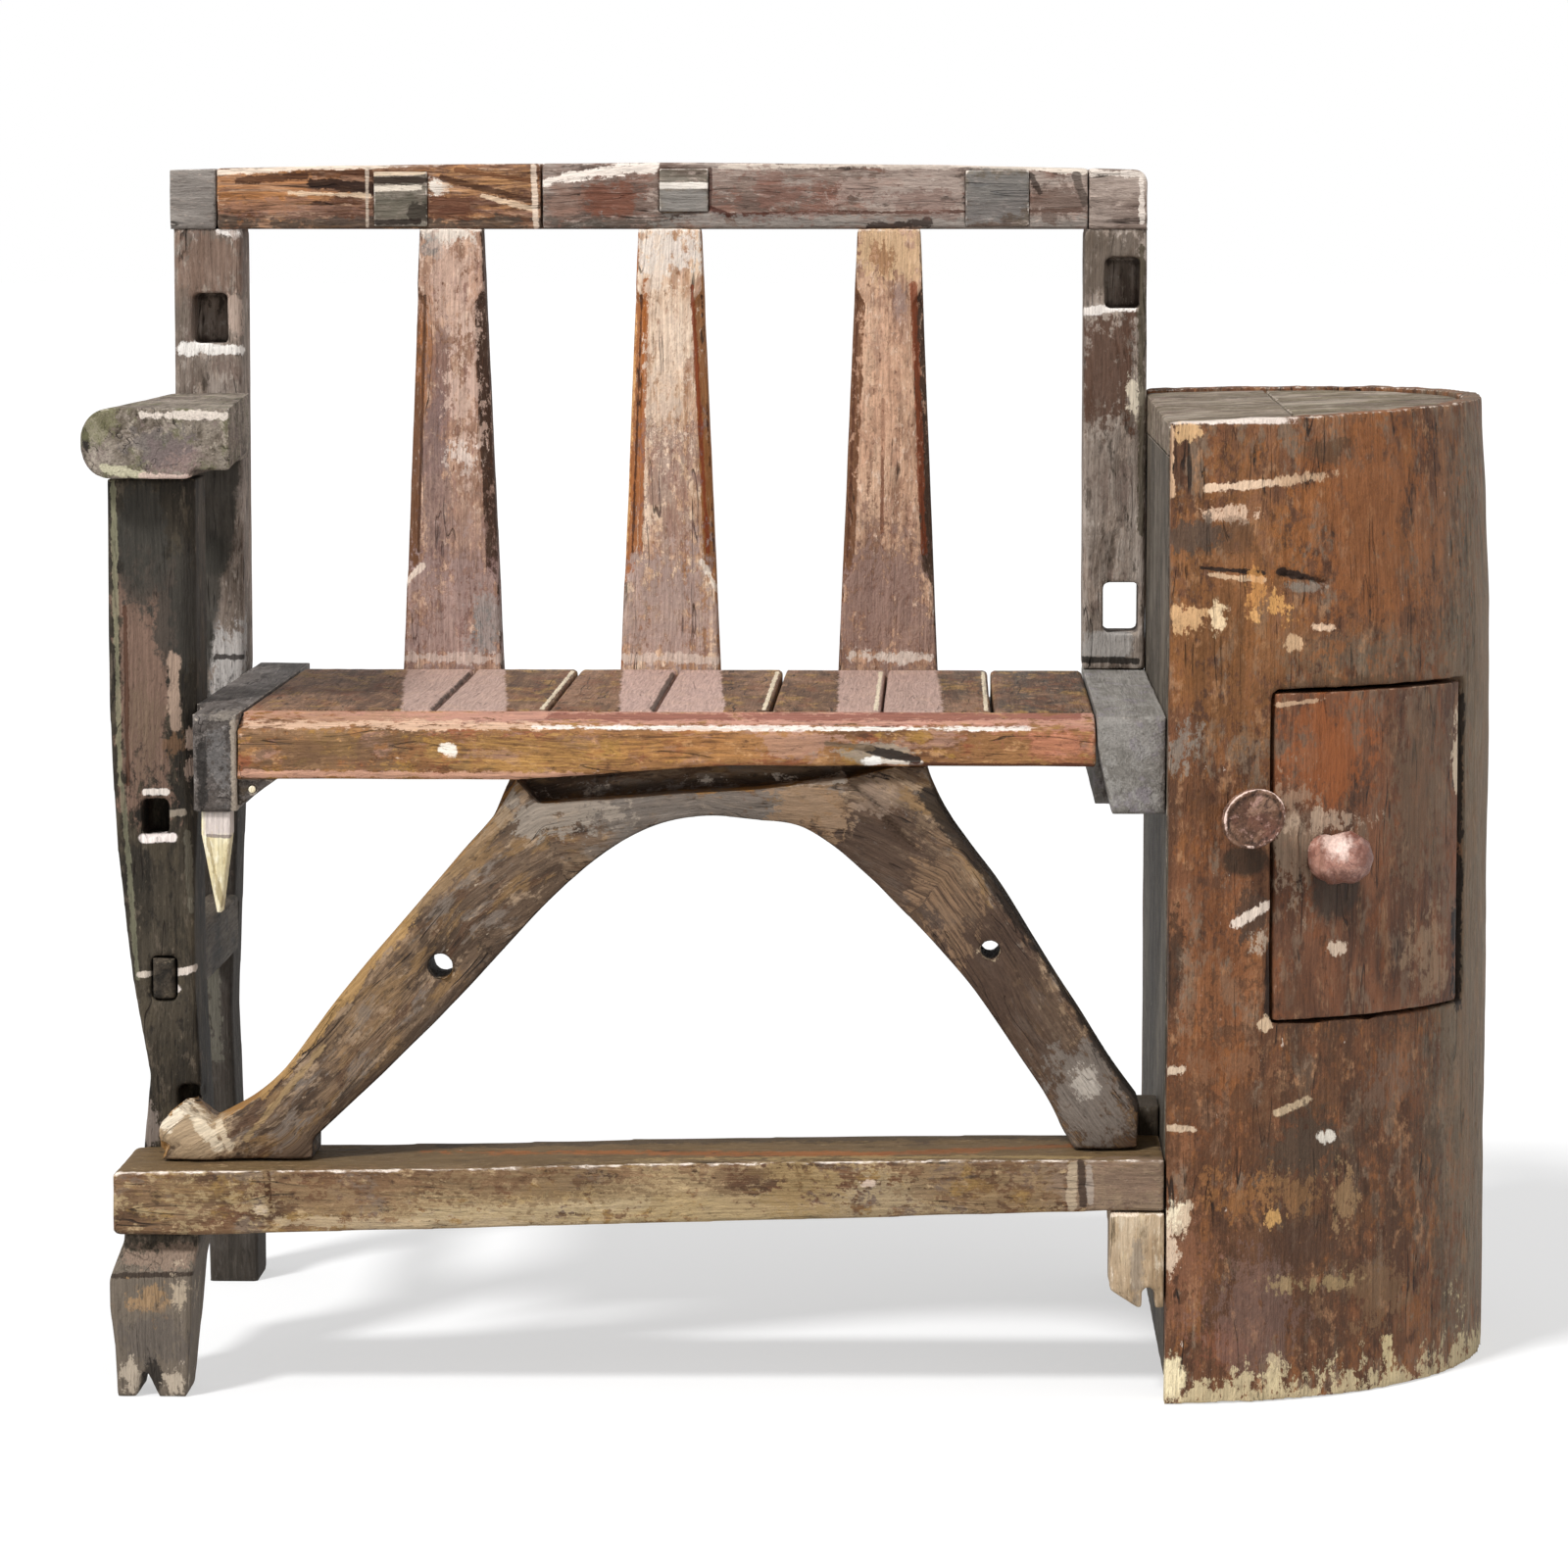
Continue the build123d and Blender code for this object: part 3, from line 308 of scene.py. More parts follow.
    bump = addNode(tree, "Bump", {"Strength": 1.0, "Distance": look["reliefMm"] * mm, "Height": relief})
    shader = addNode(tree, "BsdfPrincipled", {"Base Color": colour, "Roughness": gloss, "Normal": bump,
                                              "IOR": 1.45, "Specular IOR Level": 0.35})
    addNode(tree, "OutputMaterial", {"Surface": shader}, out=None)
    return material


# Smooth noise from -1 to 1 in metres, with one random value at each corner of a cell
def latticeNoise(points, cell, seed):
    scaled = points / np.asarray(cell) + seed * 7.13
    base = np.floor(scaled).astype(np.int64)
    part = scaled - base
    part = part * part * (3 - 2 * part)
    total = np.zeros(len(points))
    for corner in range(8):
        step = np.array([corner & 1, corner >> 1 & 1, corner >> 2 & 1])
        x, y, z = (base + step).T
        mixed = (x * 73856093) ^ (y * 19349663) ^ (z * 83492791) ^ (seed * 26544357)
        mixed = ((mixed ^ (mixed >> 13)) * 1274126177) & 0xFFFFFFFF
        value = ((mixed ^ (mixed >> 16)) & 0xFFFF) / 32767.5 - 1
        total += value * np.prod(np.where(step, part, 1 - part), axis=1)
    return total


# Each point moves halfway to the mean of its neighbours, again and again. The size
# is how far the smoothing reaches, and the same on a fine mesh as on a coarse one.
def eased(points, edges, reachMm, voxelMm):
    first, second = np.concatenate([edges, edges[:, ::-1]]).T
    count = np.maximum(np.bincount(first, minlength=len(points)), 1)
    for _ in range(max(1, round((2 * reachMm / voxelMm) ** 2))):
        mean = np.stack([np.bincount(first, weights=points[second, axis], minlength=len(points))
                         for axis in range(3)], 1) / count[:, None]
        points = (points + mean) / 2
    return points


def readMesh(mesh):
    points = np.empty(len(mesh.vertices) * 3)
    mesh.vertices.foreach_get("co", points)
    normals = np.empty(len(mesh.vertices) * 3)
    mesh.vertices.foreach_get("normal", normals)
    edges = np.empty(len(mesh.edges) * 2, int)
    mesh.edges.foreach_get("vertices", edges)
    return points.reshape(-1, 3), normals.reshape(-1, 3), edges.reshape(-1, 2)


# Distance from a line, and how far along it as a share, seen from the front
def lineDistance(points, start, end):
    flat = points[:, [0, 2]]
    a, b = np.array(start)[[0, 2]] * mm, np.array(end)[[0, 2]] * mm
    share = np.clip((flat - a) @ (b - a) / ((b - a) @ (b - a)), 0, 1)
    return np.linalg.norm(flat - a - share[:, None] * (b - a), axis=1), share


# The crook's grain follows its curve, along these points of its middle line
archLine = [
    (-420, 160), (-360, 195), (-300, 260), (-235, 335), (-165, 385), (-60, 400),
    (40, 395), (110, 360), (160, 290), (200, 230), (235, 180),
]


def archGrain(points):
    middle = np.array(archLine) * mm
    best = np.full(len(points), np.inf)
    along, across = np.zeros(len(points)), np.zeros(len(points))
    done = 0.0
    for a, b in zip(middle, middle[1:]):
        step = b - a
        length = np.linalg.norm(step)
        flat = points[:, [0, 2]] - a
        share = np.clip(flat @ step / length ** 2, 0, 1)
        away = np.linalg.norm(flat - share[:, None] * step, axis=1)
        nearer = away < best
        side = np.sign(flat[:, 0] * step[1] - flat[:, 1] * step[0])
        along[nearer] = done + share[nearer] * length
        across[nearer] = (side * away)[nearer]
        best = np.minimum(best, away)
        done += length
    return np.stack([along, across, points[:, 1]], 1)


# The log's grain runs up it, and its width is measured round the middle of the trunk
trunk = dict(middleX=252, middleY=10, radius=230)


def logGrain(points):
    x, y = points[:, 0] - trunk["middleX"] * mm, points[:, 1] - trunk["middleY"] * mm
    return np.stack([points[:, 2], np.arctan2(x, -y) * trunk["radius"] * mm, np.hypot(x, y)], 1)


grainOf = {
    "x": lambda p: p,
    "y": lambda p: p[:, [1, 0, 2]],
    "z": lambda p: p[:, [2, 0, 1]],
    "arch": archGrain,
    "log": logGrain,
}
# Cells of the noise that shapes worn wood, in metres: along the grain, across it and deep
cells = dict(
    rub=(0.03, 0.03, 0.03), adze=(0.09, 0.022, 0.022), ripple=(0.03, 0.008, 0.008),
    bite=(0.012, 0.012, 0.012), crack=(0.011, 0.011, 0.011),
)


# A worn copy of a CAD node: remeshed, its arrises rubbed down and its faces uneven
def wornWood(nodeName, material, look, seed):
    node = frame["nodes"][nodeName]
    piece = bpy.data.objects.new(nodeName + "_wood", node.data.copy())
    bpy.context.scene.collection.objects.link(piece)
    remesh = piece.modifiers.new("remesh", "REMESH")
    remesh.mode = "VOXEL"
    voxelMm = look["voxelMm"] * meshFineness
    remesh.voxel_size = voxelMm * mm
    evaluated = piece.evaluated_get(bpy.context.evaluated_depsgraph_get())
    mesh = bpy.data.meshes.new_from_object(evaluated)
    piece.modifiers.clear()
    piece.data = mesh
    mesh.name = piece.name
    points, normals, edges = readMesh(mesh)
    start = points.copy()

    # A short smoothing finds the arrises that are rubbed, most of all those that look up,
    # and a longer one rounds them
    wearMm = look["wearMm"]
    outward = np.einsum("ij,ij->i", eased(points, edges, wearMm, voxelMm) - points, normals)
    reached = max(1, round((2 * wearMm / voxelMm) ** 2)) ** 0.5 * voxelMm / 2
    wear = np.clip(-outward / (0.5 * reached * mm), 0, 1)
    wear *= np.clip(0.62 + 0.55 * normals[:, 2], 0, 1)
    for quiet in look["unworn"]:
        away = np.abs(start - np.array(quiet["at"]) * mm) / (np.array(quiet["size"]) * mm)
        wear[away.max(axis=1) < 1] *= quiet["keep"]
    roundMm = look["roundMm"]
    shift = eased(points, edges, roundMm, voxelMm) - points
    outward = np.einsum("ij,ij->i", shift, normals)
    hollow = np.clip(outward / (0.35 * roundMm * mm), 0, 1)
    rub = 0.6 + 0.4 * latticeNoise(points, cells["rub"], seed + 1)
    shift *= np.where(outward < 0, rub, 0.0)[:, None]
    shift[:, [0, 2]] *= look["outline"]  # lower keeps the shape that shows from the front
    points = points + shift
    turned = np.zeros(len(points))
    if "turnedAxis" in look:  # below zero on the faces that look the other way
        facing = normals @ np.array(look["turnedAxis"], float)
        low, high = look["turnedRange"]
        turned = np.clip((np.abs(facing) - low) / (high - low), 0, 1) * np.sign(facing)

    # Adze marks and weathering, always inward, so the piece stays in its CAD box
    grain = grainOf[look["grain"]](start)
    wave = latticeNoise(grain, cells["adze"], seed) * 0.6
    wave += latticeNoise(grain, cells["ripple"], seed + 5) * 0.4
    sunk = look["unevenMm"] * mm * (0.5 + 0.5 * wave)
    for way in look["snug"]:  # faces that press on a neighbour stay where they are
        pressed = np.clip((normals @ np.array(way, float) - 0.5) / 0.3, 0, 1)
        sunk *= 1 - pressed
        points += (start - points) * pressed[:, None]
    points -= normals * sunk[:, None]
    for dent in look["bites"]:
        away = (start - np.array(dent["at"]) * mm) / (np.array(dent["size"]) * mm)
        reach = np.linalg.norm(away, axis=1) + 0.25 * latticeNoise(start, cells["bite"], seed + 9)
        depth = np.clip(1 - reach, 0, 1) ** dent["slope"] * dent["depth"] * mm
        way = np.array(dent["way"], float)
        points += depth[:, None] * way / np.linalg.norm(way)
    for crack in look["cracks"]:
        away, share = lineDistance(start, *crack["line"])
        away = away + 1.2 * mm * latticeNoise(start, cells["crack"], seed + 13)
        taper = np.minimum(1, np.minimum(share, 1 - share) * 8 + 0.25)
        opened = np.clip(1 - away / (crack["width"] * mm / 2), 0, 1) * taper
        opened[normals[:, 1] > 0.2] = 0  # only the front face opens
        points -= normals * (opened * crack["depth"] * mm)[:, None]
    low, high = [np.array(c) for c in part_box(nodeName)]
    mesh.vertices.foreach_set("co", np.clip(points, low, high).ravel())

    for name, values in (("wear", wear), ("hollow", hollow), ("turned", turned)):
        mesh.attributes.new(name, "FLOAT", "POINT").data.foreach_set("value", values.astype(np.float32))
    along = mesh.attributes.new("grain", "FLOAT_VECTOR", "POINT")
    along.data.foreach_set("vector", grain.astype(np.float32).ravel())
    mesh.materials.clear()
    mesh.materials.append(material)
    mesh.polygons.foreach_set("use_smooth", np.ones(len(mesh.polygons), bool))
    mesh.update()
    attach(piece, node["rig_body"])
    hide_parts(nodeName)
    return piece


pieces = {}


# Gives a CAD node its worn copy in its own finish, with a seed for its unevenness
def dress(nodeName, look, seed):
    look = dict(plainWood, **look)
    for kind in ("marks", "cracks"):
        look[kind] = [onWood(mark, look) for mark in look[kind]]
    material = woodMaterial(look["name"], look)
    pieces[nodeName] = wornWood(nodeName, material, look, seed)


# Softwood silvered by sun and rain, adzed and never oiled: the surface is grey-brown
# and matt, with open fibres about 1.5 mm wide and fine drying splits along the grain
silveredPine = dict(
    base="#93857a", light="#ada096", dark="#6b5d52", aged="#5f5248", stain="#3d332a", flake="#beb1a6",
    edge="#f0e2d5", grain="z", fibreMm=1.5, ringMm=7, blotchMm=40, splitMm=14, roughness=0.84,
    slot="grey_wood", tints=("#7d6a60", "#a9988a"),
)
# A trunk of a reddish hardwood, barked and left round: warm brown, slightly polished by
# handling, with short pale scars where the bark came off and splits that run up it
barkedTrunk = dict(
    base="#88532f", light="#a36b41", dark="#5f3922", aged="#60422d", stain="#3f2516", flake="#a87d5a",
    edge="#f2dfce", grain="log", fibreMm=1.8, ringMm=9, blotchMm=50, splitMm=16, roughness=0.70,
    slot="log_wood", dirt="#20140d", tints=("#8c5a33", "#4b3020", "#806b58"), streak=0.22, pores=0.45,
)
# Old oak that hands, feet and cloth have rubbed: ochre-brown with dark pores and nearly
# white arrises, a little smoother than the silvered wood
rubbedOak = dict(
    base="#8b6a49", light="#a37f58", dark="#644a2f", aged="#624c34", stain="#412c1a", flake="#b3956f",
    edge="#f8e2d0", grain="x", fibreMm=1.6, ringMm=8, blotchMm=50, splitMm=16, roughness=0.74,
    slot="rail_wood", tints=("#9f7c46", "#74472e"),
)

# Half log with its boards, floor, door, knob and turn button
logShell = dict(
    barkedTrunk, name="barked hardwood trunk", voxelMm=2.4, roundMm=1.6, wearMm=2.2, unevenMm=2.0,
    splitLongMm=240, splits=0.9, fibreLongMm=60, flakeLongMm=22, flakeMm=13, scars=0.6, reliefMm=2.2,
    tinted=0.75, base="#7a4e32", light="#8f6243", dark="#553725", aged="#543a28",
    unworn=[dict(at=(388, -150, 369), size=(76, 110, 130), keep=0.15)],
    behind=10, deep=60,
    marks=[
        handMark("#776b59", 0.7, 0.9, at=(492, 0, 330), size=(62, 260, 420), soft=0.35),
        patch(1188, 500, 1330, 760, "#93602f", 0.4, 2.2, deep=80, soft=0.3),
        patch(1330, 640, 1480, 690, "#6d6150", 0.5, 2.2, behind=20, deep=90, soft=0.3),
        patch(1380, 480, 1490, 640, "#6a4a35", 0.35, 2.4, behind=30, deep=90, soft=0.3),
        patch(1320, 425, 1465, 630, "#a0602f", 0.45, 2.5, behind=40, deep=110, soft=0.3),
        patch(1200, 900, 1290, 1250, "#8f552b", 0.4, 2.2, deep=80, soft=0.3),
        patch(1215, 1050, 1440, 1390, "#4a3323", 0.62, 2.4, behind=20, deep=110, soft=0.3),
        patch(1290, 690, 1500, 712, "#54402c", 0.6, 1.4, behind=20, deep=90),
        patch(1191, 424, 1306, 433, "#f8e8dc", 0.95, 0.7, behind=6, box=True),
        patch(1196, 432, 1220, 452, "#f0c490", 0.7, 1.6, behind=6),
        stroke(1191, 436, 1192, 505, 3.5, "#e6bd98", 0.85, 1.7, behind=4),
        stroke(1228, 497, 1300, 492, 5, "#f0cfb0", 0.9, 1.5),
        stroke(1300, 491, 1368, 484, 7, "#d8b492", 0.8, 1.6),
        patch(1228, 516, 1278, 530, "#e6c4a8", 0.8, 2.6),
        patch(1190, 530, 1240, 560, "#4b3f36", 0.8, 1.6),
        patch(1238, 528, 1275, 565, "#533c2b", 0.6, 1.4),
        patch(1335, 448, 1378, 472, "#4d3b2a", 0.7, 1.6, behind=14),
        stroke(1222, 577, 1285, 583, 3, "#24160e", 0.95, 1.1),
        stroke(1228, 584, 1285, 590, 3.5, "#d9b794", 0.8, 1.5),
        stroke(1302, 582, 1352, 594, 5, "#24160e", 0.95, 1.1, behind=12),
        patch(1305, 592, 1350, 604, "#8d8478", 0.7, 1.5, behind=12),
        patch(1190, 616, 1230, 636, "#e6b987", 0.75, 2.6, behind=8),
        patch(1231, 612, 1245, 642, "#f4d6ac", 0.9, 1.6, behind=8),
        patch(1292, 604, 1316, 628, "#e6ab66", 0.8, 2.6, behind=12),
        patch(1270, 586, 1286, 622, "#d99a58", 0.65, 2.4, behind=12),
        patch(1270, 618, 1284, 632, "#e8b070", 0.8, 1.8, behind=12),
        stroke(1338, 638, 1358, 640, 5, "#f3cfae", 0.9, 1.5, behind=12),
        patch(1309, 648, 1322, 660, "#e2bb92", 0.8, 1.8, behind=12),
        patch(1192, 728, 1222, 776, "#8f8a80", 0.6, 2, behind=8),
        patch(1205, 800, 1235, 830, "#5a3b26", 0.6, 2, behind=8),
        patch(1262, 905, 1294, 950, "#43342a", 0.75, 1.8),
        patch(1225, 1070, 1300, 1095, "#8d6244", 0.6, 2.6, behind=12),
        patch(1400, 1080, 1440, 1130, "#7d6250", 0.6, 2.4, behind=30),
        patch(1240, 1200, 1300, 1240, "#a5703f", 0.5, 2.6),
        patch(1300, 1250, 1380, 1290, "#4f3526", 0.55, 2.4, behind=16),
        patch(1380, 1290, 1450, 1350, "#8b6a4b", 0.5, 2.6, behind=30),
        stroke(1420, 1372, 1424, 1410, 8, "#e0cb9c", 0.85, 2.2, behind=40),
        stroke(1500, 1330, 1512, 1385, 14, "#d8c79c", 0.8, 2.2, behind=60),
        stroke(1300, 1385, 1302, 1415, 8, "#e6d3a8", 0.85, 2.2, behind=20),
        stroke(1258, 938, 1294, 920, 6, "#efdccb", 0.9, 1.8),
        patch(1278, 945, 1296, 968, "#c8b29c", 0.7, 2),
        stroke(1294, 960, 1292, 1040, 4, "#1e130c", 0.9, 1.3),
        patch(1188, 930, 1205, 1030, "#2c1f15", 0.7, 1.8, behind=4),
        patch(1283, 1035, 1296, 1048, "#e8c9a6", 0.8, 1.6),
        stroke(1188, 1090, 1206, 1088, 5, "#e7cfb4", 0.8, 1.6, behind=4),
        stroke(1192, 1148, 1218, 1150, 4, "#d9bfa2", 0.8, 1.6, behind=4),
        stroke(1302, 1134, 1336, 1121, 4.5, "#d2b896", 0.8, 1.4, behind=12),
        patch(1300, 1140, 1370, 1205, "#4b3d30", 0.7, 1.6, behind=12),
        patch(1347, 1153, 1362, 1165, "#f3e9da", 0.9, 1.3, behind=20),
        patch(1284, 1200, 1345, 1232, "#9a7148", 0.5, 2.8, behind=12),
        patch(1360, 1195, 1384, 1245, "#b08d64", 0.55, 2.6, behind=20),
        patch(1292, 1232, 1310, 1250, "#d8a868", 0.8, 1.8, behind=12),
        patch(1188, 1222, 1212, 1258, "#fdeccd", 0.95, 1.6, behind=4),
        patch(1188, 1250, 1235, 1345, "#976549", 0.45, 2.4, behind=4),
        patch(1190, 1260, 1202, 1300, "#edd3b8", 0.8, 1.8, behind=4),
        patch(1220, 1350, 1265, 1400, "#8a533b", 0.45, 2, behind=8),
        patch(1235, 1300, 1320, 1400, "#80645a", 0.45, 2, behind=8),
        patch(1315, 1302, 1378, 1318, "#ab9268", 0.6, 2.6, behind=14),
        patch(1184, 1385, 1212, 1434, "#f8e7be", 0.95, 0.9, behind=4),
        stroke(1485, 706, 1485, 1022, 5, "#17100b", 0.9, 1.7, behind=130),
        handMark("#d6c39b", 0.8, 2.6, at=(370, -100, -6), size=(220, 300, 18), box=True),
        # painted shadow under the turn button
        patch(1243, 856, 1292, 888, "#33261a", 0.85, 0.4, behind=20),
    ],
    cracks=[
        stroke(1222, 577, 1285, 583, 4, behind=20, depth=3.5),
        stroke(1300, 583, 1352, 593, 5, behind=15, depth=4.5),
        stroke(1290, 1036, 1292, 950, 3, behind=15, depth=2.5),
        stroke(1390, 1036, 1470, 1018, 4, behind=30, depth=3.0),
    ],
)
# The flat side and the top boards of the log are sawn, and have weathered to grey
sideBoard = dict(
    barkedTrunk, name="sawn side board, silvered", base="#5d5447", light="#7b7264", dark="#3b342a",
    aged="#332c23", stain="#221c15", flake="#8d8476", slot="board_wood", grain="z", voxelMm=2.4,
    tints=("#6f665a", "#3d352b"),
)
topBoard = dict(
    silveredPine, name="sawn top board, silvered", base="#8a7c68", light="#a5998a", dark="#5d4f40",
    aged="#5a4f41", stain="#40352a", flake="#bdb1a0", slot="board_wood", grain="x",
)
doorPanel = dict(
    barkedTrunk, name="trunk wood, rubbed by the door's use", base="#6c442d", light="#80543a",
    dark="#4f3222", aged="#523a29", stain="#3a2315", flake="#8e6b4f", roundMm=0.8, wearMm=1.0, unevenMm=0.7,
    voxelMm=1.6, roughness=0.62, shift=5, rubbed=0.6, edge="#cdaa90", scars=0.4, flakeLongMm=26, flakeMm=11,
    tints=("#7d4b2c", "#4a3122", "#77614f"),
    behind=15, deep=60,
    marks=[
        patch(1310, 712, 1400, 830, "#a05a2c", 0.6, 1.8, soft=0.4),
        stroke(1300, 716, 1440, 704, 3, "#cdaa8a", 0.8, 1.5, behind=14),
        patch(1420, 712, 1492, 900, "#6f5a46", 0.55, 1.6, behind=60),
        patch(1298, 810, 1345, 905, "#a08a74", 0.6, 2.4, behind=10),
        patch(1320, 826, 1390, 846, "#c4ad96", 0.6, 2.2),
        # painted shadow under the knob
        patch(1336, 868, 1388, 938, "#33261c", 0.85, 0.4, behind=20),
        patch(1352, 958, 1372, 972, "#e0c8b0", 0.8, 1.8, behind=20),
        patch(1440, 930, 1488, 1016, "#93785e", 0.7, 1.6, behind=50),
        stroke(1441, 945, 1442, 960, 5, "#eed8c4", 0.8, 1.2, behind=40),
        stroke(1479, 715, 1480, 800, 6, "#d9c3a8", 0.9, 1.9, behind=120),
        stroke(1480, 912, 1479, 1010, 6, "#120b07", 0.95, 1.6, behind=124),
        patch(1300, 1000, 1340, 1040, "#5a3a26", 0.6, 1.8),
        stroke(1378, 990, 1380, 1040, 2, "#b58f70", 0.8, 1.8, behind=20),
    ],
)
# Whittled from the same wood, then polished by hands: paler, redder and smoother
doorKnob = dict(
    barkedTrunk, name="knob, polished by hands", base="#9f6f60", light="#c0917f", dark="#774a3d",
    aged="#77493d", stain="#5c352b", flake="#d6b0a2", edge="#f1d2c4", voxelMm=1.0, roundMm=1.0, wearMm=1.0,
    unevenMm=0.5, roughness=0.36, grain="y", fibreMm=1.6, ringMm=6, flakeLongMm=12, flakeMm=7, splits=0.3,
    pores=0.2, shift=7, reliefMm=0.5, tints=("#b98a7b", "#9c6d60"), flaked=0.5,
    bites=[bite(1352, 882, 15, (16, 26, 13), 7, way=(-0.2, 0, -1))],
    deep=40,
    # painted highlight at the upper left, painted shade down the right side and along the bottom
    marks=[
        patch(1347, 845, 1374, 869, "#f0d3c6", 0.8, 1, soft=0.4),
        patch(1380, 842, 1408, 904, "#6a4034", 0.75, 1.2, soft=0.5),
        patch(1340, 884, 1396, 906, "#5a3327", 0.75, 1.2, soft=0.5),
    ],
)
turnButton = dict(
    doorKnob, name="turn button, whittled", base="#71503c", light="#96735c", dark="#4d3527",
    stain="#3b231b", flake="#b99183", edge="#f6d8ca", roughness=0.6, pores=0.6, reliefMm=1.4, rubbed=1.0,
    wearMm=2.2, shift=9, tints=("#583c2c", "#9f7c66"), flaked=0.8, bites=[], marks=[],
)
dress("log_shell", logShell, 1)
dress("log_side_board", sideBoard, 2)
dress("log_top_board_left", topBoard, 3)
dress("log_top_board_right", dict(topBoard, name="sawn top board, outer", base="#7f735a", shift=3), 4)
dress("cupboard_floor", dict(topBoard, name="cupboard floor board", shift=6), 5)
dress("door_stop", dict(topBoard, name="door stop batten", grain="z", shift=8), 6)
dress("door_panel", doorPanel, 7)
dress("door_knob", doorKnob, 8)
dress("turn_button", turnButton, 9)
dress("turn_button_cotter", dict(turnButton, name="cotter peg", voxelMm=0.8, roundMm=0.6, unevenMm=0.1), 10)
print("log dressed")

# Back: crest rail, its blocks and patches, slats and posts
crestLeft = dict(
    silveredPine, name="crest rail, sheltered length", base="#a47b61", light="#dbb292", dark="#5b3823",
    streak=0.4, aged="#5c3b29", stain="#3f2417", flake="#e6c0a0", edge="#fbeadb", grain="x",
    slot="crest_wood", unevenMm=1.0, flakeLongMm=26, flakeMm=5, snug=[(0, 0, -1)], fineLongMm=20,
    fineMm=2.6, pores=0.7, lifted=0.6, tints=("#c08a5c", "#7d5a4c"), tintMm=9, reliefMm=2.0,
    behind=393,
    marks=[
        patch(222, 168, 334, 216, "#c4844c", 0.6, 1.4, grainy=True),
        patch(225, 203, 378, 226, "#8a6a5d", 0.6, 1.6, grainy=True),
        stroke(248, 184, 316, 179, 5, "#4a2a18", 0.85, 1.3),
        stroke(324, 188, 384, 192, 8, "#2a170e", 0.95, 1.3),
        stroke(330, 178, 382, 175, 3.5, "#56331f", 0.8, 1.2),
        stroke(300, 196, 380, 199, 3, "#edd0b0", 0.8, 1.6),
        stroke(228, 176, 300, 171, 4, "#f9e6d2", 0.9, 1.6),
        stroke(300, 171, 400, 169, 3, "#f9e6d2", 0.9, 1.6),
        patch(437, 198, 490, 226, "#633a27", 0.85, 0.9, box=True),
        patch(436, 182, 458, 197, "#fdf1e3", 0.95, 1.6),
        patch(460, 170, 548, 200, "#cf9a66", 0.6, 1.6, grainy=True),
        stroke(455, 181, 545, 204, 4, "#4a2b19", 0.85, 1.3),
        stroke(470, 173, 546, 184, 3, "#6b4025", 0.8, 1.4),
        stroke(496, 199, 548, 213, 3.5, "#f0d2b2", 0.85, 1.5),
        patch(222, 222, 553, 234, "#4a443c", 0.7, 2.2, box=True),
        stroke(379, 172, 379, 230, 2.2, "#d4c1ae", 0.8, 0.9),
        stroke(548, 170, 550, 230, 4, "#f3dcc6", 0.9, 1),
    ],
)
crestRight = dict(
    silveredPine, name="crest rail, silvered length", base="#968276", light="#b09d92", dark="#6e5a50",
    aged="#655047", stain="#463730", flake="#bfaca0", edge="#fbeee2", grain="x", slot="crest_wood",
    unevenMm=1.0, shift=4, flakeLongMm=22, flakeMm=6, snug=[(0, 0, -1)], tints=("#8a6455", "#a89a90"),
    tintMm=10,
    behind=393,
    marks=[
        stroke(556, 187, 578, 181, 6, "#fdf0e4", 0.95, 1.4),
        stroke(578, 180, 668, 170, 8, "#fdf0e4", 0.95, 1.8),
        patch(596, 188, 656, 222, "#7b4935", 0.75, 1.3),
        patch(556, 190, 598, 222, "#947566", 0.6, 1.3),
        patch(556, 222, 670, 234, "#59524a", 0.7, 2, box=True),
        stroke(727, 172, 726, 212, 3, "#4a3028", 0.8, 1.2),
        stroke(727, 212, 745, 219, 4, "#401d14", 0.9, 1),
        stroke(745, 219, 800, 218, 4, "#4b271b", 0.9, 1.2),
        stroke(800, 217, 1100, 214, 3, "#57392e", 0.9, 1.7),
        patch(728, 219, 1100, 233, "#958f88", 0.65, 1.8, box=True),
        stroke(890, 231, 948, 226, 7, "#2d1d16", 0.85, 1.4),
        stroke(735, 170, 1000, 168, 4, "#e4d5c6", 0.8, 2.2),
        stroke(1000, 169, 1108, 174, 4, "#e9dccd", 0.85, 1.8),
        patch(760, 180, 860, 212, "#84584a", 0.45, 3.2),
        patch(880, 176, 980, 206, "#b3a297", 0.5, 3.2),
        patch(900, 200, 985, 220, "#7a5a4f", 0.5, 3),
        patch(990, 178, 1042, 218, "#828387", 0.75, 0.8, box=True),
        stroke(990, 174, 991, 222, 2.5, "#4f4a46", 0.8, 0.9),
        patch(1044, 190, 1098, 222, "#6b554a", 0.75, 1.5),
        stroke(1050, 178, 1060, 196, 4, "#30241d", 0.8, 1.4),
        stroke(1096, 180, 1106, 205, 5, "#574b43", 0.8, 1.5),
    ],
)
crestBlockLeft = dict(
    crestRight, name="crest block, grey", base="#928a83", light="#9a928b", dark="#857d76", aged="#7a726b",
    flaked=0.3, scars=0.2, pores=0.3, marks=[], shift=2, tints=("#8a827b",),
)
crestBlockRight = dict(
    crestRight, name="crest block, rounded", base="#ab9a8f", light="#c2b2a7", dark="#8b7b71", shift=8,
    pores=0.4, tints=("#b3a297", "#9c8a7e"),
    behind=393,
    marks=[
        stroke(1110, 175, 1166, 179, 5, "#f1e4d8", 0.9, 1.8),
        stroke(1162, 182, 1163, 226, 4, "#f1e4d8", 0.85, 1.5),
    ],
)
